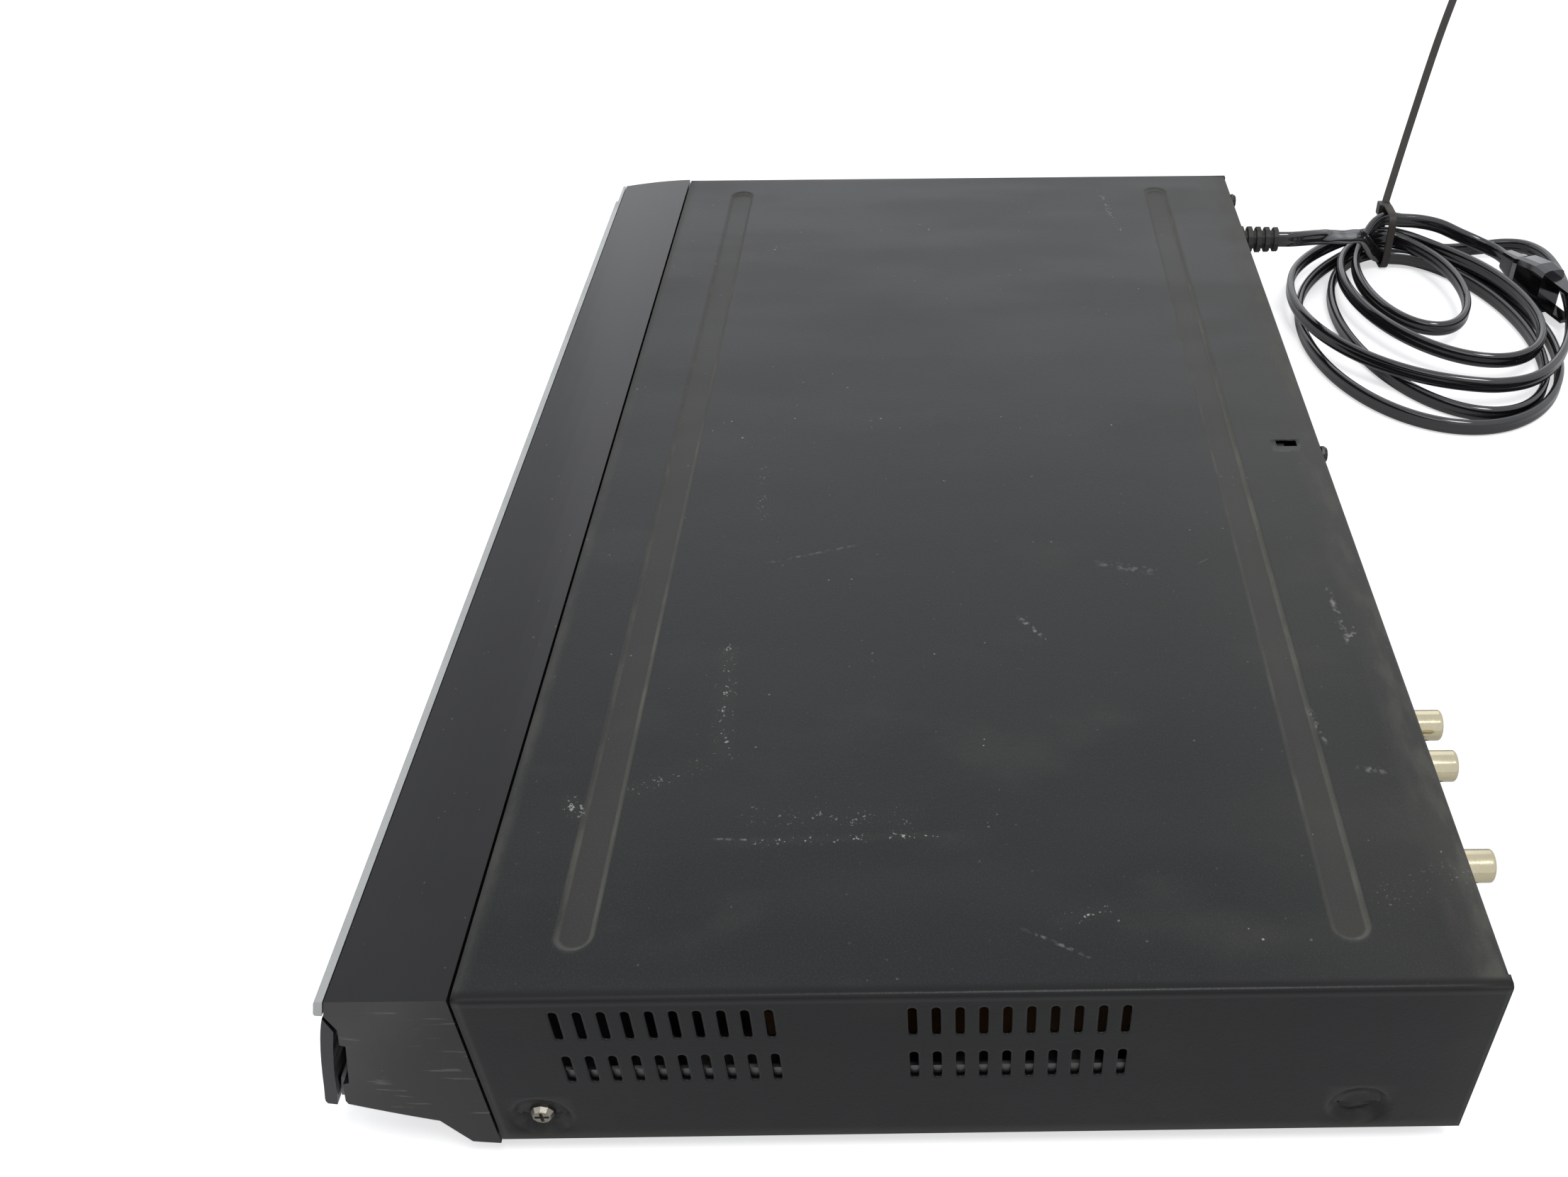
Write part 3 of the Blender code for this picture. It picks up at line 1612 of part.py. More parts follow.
def gears():
    """The drive gear with its wheel, and the pulley gear with its pinion, each on its post."""
    x, y = gear_centre()
    top = tray_bottom - slide_gap
    wheel_top = top - drive_gear_height
    half_tooth = math.pi / drive_gear_teeth
    upper = prism(
        gear_outline((x, y), tooth_module, drive_gear_teeth, math.pi + half_tooth),
        "Z",
        wheel_top - wheel_height / 2,
        top,
    )
    made = piece("drive_gear", upper, WHITE_PLASTIC, (x, y, wheel_top))
    wheel = prism(
        gear_outline((x, y), wheel_module, wheel_teeth, 0),
        "Z",
        wheel_top - wheel_height,
        wheel_top,
    )
    join(made, wheel)
    bore = gear_post_radius + shaft_clearance
    cut(made, rod(bore, wheel_top - wheel_height - overrun, top + overrun, 14, (x, y, 0)))
    x, y = pulley_centre()
    pinion_low = wheel_top - wheel_height
    half_tooth = math.pi / pulley_pinion_teeth
    pinion = prism(
        gear_outline((x, y), wheel_module, pulley_pinion_teeth, math.pi + half_tooth),
        "Z",
        pinion_low - overrun,
        wheel_top,
    )
    made = piece("pulley_gear", pinion, WHITE_PLASTIC, (x, y, pinion_low))
    join(made, pulley_shape((x, y), pulley_radius, pinion_low - slide_gap))
    cut(made, rod(bore, pinion_low - pulley_height * 2, wheel_top + overrun, 14, (x, y, 0)))


def pulley_shape(middle, radius, top, steps=round_steps):
    """A grooved wheel. radius is the groove's."""
    low = top - pulley_height
    profile = [
        (0, low),
        (radius + pulley_rim, low),
        (radius + pulley_rim, low + pulley_height * 0.2),
        (radius, low + pulley_height * 0.3),
        (radius, low + pulley_height * 0.7),
        (radius + pulley_rim, low + pulley_height * 0.8),
        (radius + pulley_rim, top),
        (0, top),
    ]
    return turned(profile, steps, (*middle, 0))


def belt_top():
    return tray_bottom - slide_gap - drive_gear_height - wheel_height - slide_gap


def loading_motor():
    x, y = motor_place()
    top = belt_top() - pulley_height - fit_gap
    low = top - motor_height_share * case_height
    outline = [point for point in circle((0, 0), motor_radius, 32)]
    outline = [(x + a, y + max(-motor_flat, min(motor_flat, b))) for a, b in outline]
    motor = piece("loading_motor", prism(outline, "Z", low, top), BARE_STEEL)
    join(motor, rod(shaft_radius, low + overrun, belt_top() - fit_gap, 12, (x, y, 0)))
    shape = pulley_shape((x, y), motor_pulley_radius, belt_top(), small_round_steps)
    pulley = piece("motor_pulley", shape, WHITE_PLASTIC, (x, y, top))
    bore = shaft_radius + shaft_clearance
    low, high = belt_top() - pulley_height - overrun, belt_top() - fit_gap / 2
    cut(pulley, rod(bore, low, high, small_round_steps, (x, y, 0)))


def belt_loop(extra):
    """The belt's outline round both pulleys, at a distance outside their grooves."""
    x_big, y_big = pulley_centre()
    x_small, y_small = motor_place()
    big = pulley_radius + extra
    small = motor_pulley_radius + extra
    lean = math.degrees(math.acos((big - small) / (x_small - x_big)))
    points = arc((x_big, y_big), big, lean, 360 - lean, round_steps)
    points += arc((x_small, y_small), small, -lean, lean, small_round_steps // 2)
    return points


def loading_belt():
    top = belt_top() - pulley_height * 0.35
    low = belt_top() - pulley_height * 0.65
    outer = belt_loop(belt_running_gap + belt_thickness)
    belt = piece("loading_belt", prism(outer, "Z", low, top), RUBBER)
    cut(belt, prism(belt_loop(belt_running_gap), "Z", low - overrun, top + overrun))
    return belt


def traverse_frame():
    """The playing unit's frame: a plate with a window for the sled, blocks for its rods, a hinge."""
    left = drive_x - frame_half_width
    right = drive_x + frame_half_width
    front = disc_y - frame_front_ahead
    rear = front + frame_length
    origin = (drive_x, hinge_y(), hinge_z())
    plate = rounded(left, right, front, rear, tray_corner)
    shape = prism(plate, "Z", frame_top - frame_thickness, frame_top)
    frame = piece("traverse_frame", shape, GREY_PLASTIC, origin)
    start = disc_y + sled_window_start
    window = block(
        drive_x - sled_window_half_width,
        drive_x + sled_window_half_width,
        start,
        start + sled_window_length,
        frame_top - frame_thickness - overrun,
        frame_top + overrun,
    )
    cut(frame, window)
    pivots = []
    reach = frame_half_width + ear_gap() + chassis_wall * 1.5
    for side in (-1, 1):
        low, high = sorted((side * (frame_half_width - overrun), side * reach))
        pivots.append(rod(rod_radius, low, high, 14, (drive_x, hinge_y(), hinge_z()), "X"))
    join(frame, pivots)
    low, high = rod_ends()
    bores = []
    for offset, reach in (
        (-rod_spread, rod_radius + thread_clearance),
        (rod_spread, rod_radius + thread_clearance),
        (screw_shaft_offset, screw_core_radius + screw_running_gap),
    ):
        place = (drive_x + offset, 0, sled_level())
        bores.append(rod(reach, low - fit_gap, high + fit_gap, rod_steps, place, "Y"))
    cut(frame, bores)
    return frame


def sled_level():
    """The height of the guide rods' centres."""
    return frame_top - frame_thickness / 2


def rod_ends():
    """Where the rods start and end: a little inside the frame's walls, in their bores."""
    start = disc_y + sled_window_start - rod_seat + fit_gap
    return start, start + sled_window_length + 2 * (rod_seat - fit_gap)


def rods():
    """Two guide rods and the lead screw across the window, their ends in the frame's bores."""
    low, high = rod_ends()
    for name, side in (("guide_rod_left", -1), ("guide_rod_right", 1)):
        place = (drive_x + side * rod_spread, 0, sled_level())
        piece(name, rod(rod_radius, low, high, rod_steps, place, "Y"), BARE_STEEL)
    place = (drive_x + screw_shaft_offset, 0, sled_level())
    core = screw_core_radius
    profile = [(0, low), (core, low)]
    start = low + rod_seat + fit_gap
    for i in range(screw_threads):
        at = start + i * thread_pitch
        profile += [(core, at), (screw_shaft_radius, at + thread_pitch / 2)]
    profile += [(core, start + screw_threads * thread_pitch), (core, high), (0, high)]
    shape = turned(profile, rod_steps, place, "Y")
    piece("lead_screw", shape, BARE_STEEL, (place[0], low, place[2]))


def spindle():
    """The spindle motor on the frame, and the turntable on its shaft."""
    place = (drive_x, disc_y, 0)
    table_low = disc_z + spindle_rise - turntable_height
    motor_low = frame_top + fit_gap
    motor_top = table_low - slide_gap
    profile = [
        (0, motor_low),
        (spindle_motor_radius, motor_low),
        (spindle_motor_radius, motor_top - small_chamfer),
        (spindle_motor_radius - small_chamfer, motor_top),
        (shaft_radius, motor_top),
        (shaft_radius, table_low + turntable_height / 2),
        (0, table_low + turntable_height / 2),
    ]
    piece("spindle_motor", turned(profile, round_steps, place), BARE_STEEL)
    top = disc_z + spindle_rise
    bore = shaft_radius + shaft_clearance
    profile = [
        (bore, table_low),
        (turntable_radius, table_low),
        (turntable_radius, top),
        (hub_radius, top),
        (hub_radius, top + hub_height * 0.45),
        (hub_radius * 0.8, top + hub_height * 0.85),
        (hub_radius * 0.7, top + hub_height),
        (0, top + hub_height),
        (0, table_low + turntable_height / 2 + fit_gap),
        (bore, table_low + turntable_height / 2 + fit_gap),
        (bore, table_low),
    ]
    piece("turntable", turned(profile, round_steps, place), BLACK_PLASTIC, (drive_x, disc_y, table_low))


def pickup_sled():
    """The sled that carries the lens over the disc, riding on both rods."""
    low_y = disc_y + sled_start
    top = frame_top + sled_height - frame_thickness
    origin = (drive_x, low_y, sled_level())
    wide = sled_half_width
    body = rounded(drive_x - wide, drive_x + wide, low_y, low_y + sled_length, sled_corner)
    sled = piece("pickup_sled", prism(body, "Z", sled_level() - sled_skirt, top), GREY_PLASTIC, origin)
    shoes = []
    shoe = rod_radius + sled_shoe_wall
    near, far = low_y + sled_length * 0.15, low_y + sled_length * 0.85
    for side in (-1, 1):
        x = drive_x + side * rod_spread
        low, high = sorted((x + side * shoe, drive_x + side * (wide - sled_shoe_wall)))
        shoes.append(block(low, high, near, far, sled_level() - shoe, sled_level() + shoe))
    join(sled, shoes)
    bores = []
    near, far = low_y - overrun, low_y + sled_length + overrun
    for side in (-1, 1):
        place = (drive_x + side * rod_spread, 0, sled_level())
        bores.append(rod(rod_radius + rod_clearance, near, far, small_round_steps, place, "Y"))
    cut(sled, bores)
    arm_low = sled_level() + screw_shaft_radius + slide_gap
    arm = block(
        drive_x + wide - sled_shoe_wall,
        drive_x + screw_shaft_offset + screw_shaft_radius,
        low_y + sled_length * 0.4,
        low_y + sled_length * 0.6,
        arm_low,
        arm_low + follower_rise,
    )
    join(sled, arm)
    lens_y = low_y + lens_forward
    ring = [
        (0, top - overrun),
        (lens_radius * 1.5, top - overrun),
        (lens_radius * 1.5, top + lens_rise * 0.5),
        (lens_radius, top + lens_rise * 0.5),
        (lens_radius * 0.9, top + lens_rise * 0.8),
        (lens_radius * 0.5, top + lens_rise),
        (0, top + lens_rise),
    ]
    join(sled, turned(ring, small_round_steps, (drive_x, lens_y, 0)))
    return sled


def standoffs(left, right, front, rear):
    """Four short posts under a board's corners."""
    made = []
    low, high = base_top + fit_gap, board_bottom + board_thickness / 2
    for x in (left + standoff_inset, right - standoff_inset):
        for y in (front + standoff_inset, rear - standoff_inset):
            made.append(rod(standoff_radius, low, high, 8, (x, y, 0)))
    return made


def can(x, y, radius, height):
    """A capacitor standing on a board."""
    low = board_top - board_part_sink
    edge = radius * 0.12
    top = low + height
    profile = [(0, low), (radius, low), (radius, top - edge), (radius - edge, top), (0, top)]
    return turned(profile, capacitor_steps, (x, y, 0))


def main_board():
    """The brown main board with its chips and capacitors, on four standoffs."""
    left = main_board_left
    right = main_board_right
    front = front_y + main_board_front
    rear = rear_y - main_board_rear_inset
    outline = rounded(left, right, front, rear, board_corner)
    board = piece("main_board", prism(outline, "Z", board_bottom, board_top), BROWN_BOARD)
    join(board, standoffs(left, right, front, rear))
    low = board_top - board_part_sink
    parts = []
    for x_share, y_share, size_share in ((0.30, 0.35, 1.3), (0.62, 0.30, 1.0), (0.35, 0.72, 0.8)):
        x = left + (right - left) * x_share
        y = front + (rear - front) * y_share
        half = chip_size * size_share / 2
        parts.append(block(x - half, x + half, y - half, y + half, low, board_top + chip_height))
    for x_share, y_share in ((0.12, 0.2), (0.88, 0.25), (0.88, 0.40), (0.55, 0.60)):
        x = left + (right - left) * x_share
        y = front + (rear - front) * y_share
        parts.append(can(x, y, small_capacitor_radius, small_capacitor_height))
    join(board, parts)
    return board


def power_supply():
    """The mains board with its large capacitor, the transformer and the finned heat sink."""
    left = power_board_left
    right = power_board_right
    front = front_y + power_board_front
    rear = rear_y - power_board_rear_inset
    outline = rounded(left, right, front, rear, board_corner)
    board = piece("power_board", prism(outline, "Z", board_bottom, board_top), BROWN_BOARD)
    join(board, standoffs(left, right, front, rear))
    middle = (left + right) / 2
    span = rear - front
    parts = [can(middle, front + span * 0.62, capacitor_radius, capacitor_height)]
    for x_share, y_share in ((0.25, 0.08), (0.6, 0.08), (0.25, 0.88)):
        x = left + (right - left) * x_share
        parts.append(can(x, front + span * y_share, small_capacitor_radius, small_capacitor_height))
    join(board, parts)
    low = board_top + fit_gap
    y = front + span * 0.42
    half_x = transformer_width / 2
    half_y = span * transformer_length_share / 2
    winding_foot = transformer_height * 0.4
    core = piece(
        "transformer",
        block(middle - half_x, middle + half_x, y - half_y, y + half_y, low, low + winding_foot),
        YELLOW_TAPE,
    )
    coil_x, coil_y = half_x * 0.7, half_y * 0.8
    winding = rounded(middle - coil_x, middle + coil_x, y - coil_y, y + coil_y, transformer_corner)
    start = low + transformer_height * 0.2
    join(core, prism(winding, "Z", start, low + transformer_height))
    yoke = half_y * 0.35
    yoke_top = low + transformer_height * 0.9
    join(core, block(middle - half_x, middle + half_x, y - yoke, y + yoke, start, yoke_top))
    heat_sink(right - sink_depth - board_corner, front + span * 0.14, span * sink_length_share)


def heat_sink(x, y, length):
    """A finned sink whose base stands on the mains board's right edge."""
    low = board_top + fit_gap
    base = block(x, x + sink_base, y, y + length, low, low + sink_height)
    sink = piece("heat_sink", base, BARE_STEEL)
    fins = []
    step = (length - sink_fin) / (sink_fins - 1)
    for i in range(sink_fins):
        at = y + i * step
        fins.append(block(x + sink_base / 2, x + sink_depth, at, at + sink_fin, low, low + sink_height))
    join(sink, fins)


def rear_panel():
    """The steel rear panel with its sockets' holes and the fan's slots."""
    out = half_width - sheet - base_sheet - fit_gap * 2
    panel = piece(
        "rear_panel",
        block(-out, out, panel_back, panel_face, base_z + fit_gap, top_z - sheet - fit_gap),
        BLACK_PAINT,
    )
    through = (panel_back - overrun, panel_face + overrun)
    holes = []
    for x in jack_places:
        for drop in (jack_row_drop, lower_row_drop):
            holes.append(rod(jack_radius + fit_gap, *through, small_round_steps, (x, 0, top_z - drop), "Y"))
    for i in range(2):
        place = (aerial_x, 0, top_z - aerial_top_drop - i * aerial_pitch)
        holes.append(rod(aerial_radius + fit_gap, *through, small_round_steps, place, "Y"))
    half = hdmi_width / 2 + fit_gap
    tall = hdmi_height / 2 + fit_gap
    z = top_z - hdmi_drop
    outline = rounded(hdmi_x - half, hdmi_x + half, z - tall, z + tall, hdmi_corner)
    holes.append(prism(outline, "Y", *through))
    place = (relief_x, 0, top_z - relief_drop)
    holes.append(rod(relief_core_radius + fit_gap, *through, small_round_steps, place, "Y"))
    for x in rear_screw_places:
        place = (x, 0, top_z - rear_screw_drop)
        holes.append(rod(screw_shank_radius + thread_clearance, *through, rod_steps, place, "Y"))
    middle = (grille_slots - 1) / 2
    for i in range(grille_slots):
        z = top_z - fan_drop + (i - middle) * grille_pitch
        reach = math.sqrt(fan_bore_radius**2 - ((i - middle) * grille_pitch) ** 2)
        outline = stadium((fan_x, z), reach, grille_slot_width / 2, 2)
        holes.append(prism(outline, "Y", *through))
    cut(panel, holes)
    return panel


def phono_profile(low, tip):
    """A phono socket's section: a rolled rim, a bore and the insulator inside it."""
    return [
        (0, low),
        (jack_radius, low),
        (jack_radius, tip - jack_edge),
        (jack_radius - jack_edge, tip),
        (jack_radius - jack_wall, tip),
        (jack_radius - jack_wall, tip - jack_reach * 0.75),
        (jack_insulator_radius, tip - jack_reach * 0.75),
        (jack_insulator_radius, tip - jack_edge * 2),
        (jack_bore_radius, tip - jack_edge * 2),
        (jack_bore_radius, tip - jack_reach * 0.7),
        (0, tip - jack_reach * 0.7),
    ]


def plain_jack_profile(low, tip):
    """A lower-row socket: a sleeve with the pin's bore."""
    return [
        (0, low),
        (jack_radius, low),
        (jack_radius, tip),
        (jack_bore_radius, tip),
        (jack_bore_radius, tip - jack_reach * 0.75),
        (0, tip - jack_reach * 0.75),
    ]


def rear_sockets():
    tip = rear_y + jack_reach
    low = panel_back - jack_root
    for i, x in enumerate(jack_places):
        place = (x, 0, top_z - jack_row_drop)
        shape = turned(phono_profile(low, tip), phono_steps, place, "Y")
        piece(f"phono_jack_{i + 1}", shape, NICKEL)
    left = jack_places[0] - jack_block_margin
    right = jack_places[-1] + jack_block_margin
    back = low - fit_gap
    housing = piece(
        "rear_jack_block",
        block(
            left,
            right,
            back - jack_block_depth,
            back,
            top_z - lower_row_drop - jack_block_margin,
            top_z - jack_row_drop + jack_radius,
        ),
        BLACK_PLASTIC,
    )
    lower = []
    for x in jack_places:
        place = (x, 0, top_z - lower_row_drop)
        lower.append(turned(plain_jack_profile(back - overrun, tip), small_round_steps, place, "Y"))
    join(housing, lower)
    z = top_z - hdmi_drop
    wide = hdmi_width / 2
    tall = hdmi_height / 2
    outline = rounded(hdmi_x - wide, hdmi_x + wide, z - tall, z + tall, hdmi_corner - hdmi_shell)
    shape = prism(outline, "Y", panel_face - hdmi_length, panel_face + hdmi_shell)
    shell = piece("hdmi_socket", shape, BARE_STEEL)
    wide -= hdmi_shell
    tall -= hdmi_shell
    outline = rounded(hdmi_x - wide, hdmi_x + wide, z - tall, z + tall, hdmi_corner - hdmi_shell * 2)
    cut(shell, prism(outline, "Y", panel_face - hdmi_length + overrun, panel_face + hdmi_shell + overrun))
    tongue = block(
        hdmi_x - wide * 0.8,
        hdmi_x + wide * 0.8,
        panel_face - hdmi_length + overrun / 2,
        panel_face - overrun,
        z - tall + hdmi_tongue / 4,
        z - tall + hdmi_tongue,
    )
    join(shell, tongue)
    half = aerial_block_width / 2
    aerial_low = board_top + aerial_board_gap
    tuner = piece(
        "aerial_block",
        block(
            aerial_x - half,
            aerial_x + half,
            panel_back - fit_gap - aerial_block_depth,
            panel_back - fit_gap,
            aerial_low,
            top_z - aerial_top_drop + half,
        ),
        BARE_STEEL,
    )
    connectors = []
    for i in range(2):
        place = (aerial_x, 0, top_z - aerial_top_drop - i * aerial_pitch)
        end = rear_y + aerial_length
        profile = [
            (0, panel_back - overrun),
            (aerial_radius, panel_back - overrun),
            (aerial_radius, end - jack_edge),
            (aerial_radius - jack_edge, end),
            (aerial_bore, end),
            (aerial_bore, end - aerial_length * 0.6),
            (0, end - aerial_length * 0.6),
        ]
        connectors.append(turned(profile, small_round_steps, place, "Y"))
    join(tuner, connectors)


def fan():
    """The small rear fan: a square frame and a rotor whose blades are twisted lofts."""
    z = top_z - fan_drop
    half = fan_side / 2
    rear = panel_back - fit_gap
    front = rear - fan_depth
    outline = rounded(fan_x - half, fan_x + half, z - half, z + half, fan_corner)
    frame = piece("fan_frame", prism(outline, "Y", front, rear), BLACK_PLASTIC)
    place = (fan_x, 0, z)
    cut(frame, rod(fan_bore_radius, front - overrun, rear + overrun, fine_round_steps, place, "Y"))
    shaft_end = rear - fan_depth * 0.3
    spokes = []
    for angle in fan_spoke_degrees:
        low, high = fan_spoke_inset, fan_spoke - fan_spoke_inset
        start, end = fan_hub_radius * 0.6, fan_bore_radius + overrun
        bar = block(start, end, -fan_spoke / 2, fan_spoke / 2, low, high)
        bar.transform(Matrix.Rotation(math.radians(angle), 4, "Z"))
        bar.transform(Matrix.Rotation(math.radians(-90), 4, "X"))
        bar.transform(Matrix.Translation((fan_x, front, z)))
        spokes.append(bar)
    join(frame, spokes)
    hub = [
        (0, front),
        (fan_hub_radius * 0.8, front),
        (fan_hub_radius * 0.8, front + fan_spoke),
        (shaft_radius, front + fan_spoke),
        (shaft_radius, shaft_end),
        (0, shaft_end),
    ]
    join(frame, turned(hub, small_round_steps, place, "Y"))
    hub_low = front + fan_spoke + slide_gap
    hub_high = rear - slide_gap
    origin = (fan_x, hub_low, z)
    bore = shaft_radius + shaft_clearance
    hole_end = shaft_end + fit_gap
    profile = [
        (bore, hub_low),
        (fan_hub_radius, hub_low),
        (fan_hub_radius, hub_high - small_chamfer),
        (fan_hub_radius - small_chamfer, hub_high),
        (0, hub_high),
        (0, hole_end),
        (bore, hole_end),
        (bore, hub_low),
    ]
    rotor = piece("fan_rotor", turned(profile, round_steps, place, "Y"), BLACK_PLASTIC, origin)
    blades = []
    tip = fan_bore_radius - fan_blade_gap
    for i in range(fan_blades):
        blades.append(fan_blade(360 * i / fan_blades, tip, hub_low + slide_gap, hub_high - slide_gap, z))
    join(rotor, blades)


def fan_blade(angle, tip, low, high, z):
    """One twisted blade, lofted from the hub to its tip."""
    rings = []
    for share in (0, 0.5, 1):
        radius = fan_hub_radius * 0.8 + (tip - fan_hub_radius * 0.8) * share
        turn = math.radians(fan_blade_turn_degrees) / 2
        ring = []
        for at, side in ((low, -1), (high, 1)):
            around = math.radians(angle) + side * turn * (1 - share / 4)
            half = fan_blade_thickness / radius / 2
            ends = (around - half, around + half) if side < 0 else (around + half, around - half)
            for edge in ends:
                ring.append((fan_x + radius * math.cos(edge), at, z + radius * math.sin(edge)))
        rings.append(ring)
    return loft(rings)


def strain_relief():
    """The ribbed rubber sleeve where the cord leaves the rear panel."""
    low = panel_back - relief_root
    tip = rear_y + relief_length
    start = panel_face + fit_gap
    pitch = (tip - start) / relief_ribs
    root = relief_core_radius
    flange = relief_rib_radius
    profile = [
        (0, low),
        (flange, low),
        (flange, panel_back - fit_gap),
        (root, panel_back - fit_gap),
        (root, start),
    ]
    for i in range(relief_ribs):
        rib = relief_rib_radius + (relief_tip_radius - relief_rib_radius) * i / (relief_ribs - 1)
        at = start + i * pitch + pitch * (1 - relief_rib_share)
        end = start + (i + 1) * pitch
        if i:
            profile.append((root, at - pitch * (1 - relief_rib_share)))
        profile += [(root, at), (rib, at), (rib, end)]
    profile.append((0, tip))
    place = (relief_x, 0, top_z - relief_drop)
    return piece("strain_relief", turned(profile, small_round_steps, place, "Y"), RUBBER)


def smooth_line(points, count):
    """A smooth curve through points, read at evenly spaced places along its length."""
    padded = np.vstack([2 * points[0] - points[1], points, 2 * points[-1] - points[-2]])
    fine = []
    for a, b, c, d in zip(padded, padded[1:], padded[2:], padded[3:]):
        for share in np.linspace(0, 1, 16, endpoint=False):
            fine.append(
                0.5
                * (
                    2 * b
                    + (c - a) * share
                    + (2 * a - 5 * b + 4 * c - d) * share**2
                    + (3 * b - a - 3 * c + d) * share**3
                )
            )
    fine = np.array([*fine, points[-1]])
    return evenly(fine, count)


def evenly(line, count):
    """A line read again at evenly spaced places."""
    along = np.concatenate([[0], np.cumsum(np.linalg.norm(np.diff(line, axis=0), axis=1))])
    places = np.linspace(0, along[-1], count)
    return np.stack([np.interp(places, along, line[:, i]) for i in range(3)], axis=1)


def step_up(value, low, high):
    """0 below low, 1 above high, with a smooth rise between."""
    share = np.clip((value - low) / (high - low), 0, 1)
    return share * share * (3 - 2 * share)


def coil_point(turn):
    """The coil's centre line: turn counts from one pass of the tie to the next."""
    row = min(int(turn), len(coil_turns) - 1)
    length, width, swing, lean = coil_turns[row]
    around = math.pi - 2 * math.pi * (turn - row)
    nearest = int(round(turn))
    near_tie = 1 - step_up(abs(turn - nearest), 0, tie_share)
    outwards = 1 + math.cos(around)
    x = relief_x + tie_place[0] + length * outwards - lean * max(0, math.sin(around)) ** 2
    x += pass_columns[nearest] * near_tie
    y = rear_y + tie_place[1] + swing * outwards / 2 + width * math.sin(around)
    low, middle, high = coil_layers
    z = low + (middle - low) * step_up(turn, *coil_climbs[0])
    z += (high - middle) * step_up(turn, *coil_climbs[1])
    return (x, y, z + tie_lift * near_tie)


def coil_line():
    """The whole coil, from the cord's arrival at the tie to the plug."""
    turns = np.linspace(0, len(coil_turns), len(coil_turns) * points_a_turn + 1)
    line = [coil_point(turn) for turn in turns]
    arrival = run_route[-1] + cord_origin
    lead = arrival + (np.array(line[0]) - arrival) * 0.16
    return np.array([lead, *line, *smooth_line(plug_route + cord_origin, len(plug_route))])


def flat_rings(line, shares, scales=None):
    """The flat section set along a line, its wide side as upright as the line allows."""
    ways = np.gradient(line, axis=0)
    ways /= np.linalg.norm(ways, axis=1)[:, None]
    up = np.array((0, 0, 1)) - ways * ways[:, 2:3]
    up /= np.linalg.norm(up, axis=1)[:, None]
    side = np.cross(ways, up)
    rings = []
    for place, across, upright in zip(line, side, up):
        rings.append(
            [place + across * a * cord_thickness + upright * b * cord_width for a, b in shares]
        )
    return rings


def least_gap(line):
    """The smallest gap between parts of the coil that lie apart along it."""
    fine = evenly(line, len(line) * 4)
    shares = []
    for start, end in zip(section_shares, section_shares[1:] + section_shares[:1]):
        shares += [tuple(np.array(start) + (np.array(end) - start) * part) for part in (0, 0.33, 0.67)]
    rings = np.array(flat_rings(fine, shares))
    step = np.linalg.norm(np.diff(fine, axis=0), axis=1).mean()
    apart = int(2.5 * cord_width / step)
    least = cord_width
    for i in range(len(rings) - apart):
        near = np.linalg.norm(fine[i + apart :] - fine[i], axis=1) < 2 * cord_width
        others = rings[i + apart :][near].reshape(-1, 3)
        if len(others):
            gaps = np.linalg.norm(rings[i][:, None] - others[None], axis=2)
            least = min(least, gaps.min())
    return least


def cord():
    """The cord's free run and its tied coil, as two flat tubes."""
    run = smooth_line(run_route + cord_origin, run_steps)
    piece("cord_run", loft(flat_rings(run, run_section_shares)), CORD_BLACK)
    line = coil_line()
    piece("cord_coil", loft(flat_rings(line, section_shares)), CORD_BLACK)
    length = np.linalg.norm(np.diff(line, axis=0), axis=1).sum() / MM
    print(f"coil: {length:.0f} mm long, least gap to itself {least_gap(line) / MM:.2f} mm")


def plug():
    """The plug, on its edge: a body that widens to its face, with two flat blades."""
    rings = []
    for along, wide, tall in (
        (0.0, plug_neck * 0.7, plug_neck),
        (0.3, plug_neck, plug_neck * 1.4),
        (0.45, plug_width, plug_height * 0.8),
        (0.8, plug_width, plug_height),
        (1.0, plug_width * 0.94, plug_height * 0.96),
    ):
        outline = rounded(-wide / 2, wide / 2, -tall / 2, tall / 2, wide / 4, 2)
        rings.append([(along * plug_length, a, b) for a, b in outline])
    start = plug_route[-1] + cord_origin
    turn = Matrix.Rotation(math.radians(plug_turn_degrees), 4, "Z")
    lead_way = turn @ Vector((1, 0, 0))
    place = Vector((start[0], start[1], plug_centre_height)) + lead_way * fit_gap
    body = loft(rings)
    body.transform(Matrix.Translation(place) @ turn)
    made = piece("plug", body, CORD_BLACK)
    blades = []
    for side in (-1, 1):
        middle = side * blade_spacing / 2
        blade = block(
            plug_length - overrun,
            plug_length + blade_length,
            -blade_width / 2,
            blade_width / 2,
            middle - blade_thickness / 2,
            middle + blade_thickness / 2,
        )
        blade.transform(Matrix.Translation(place) @ turn)
        blades.append(blade)
    join(made, blades)


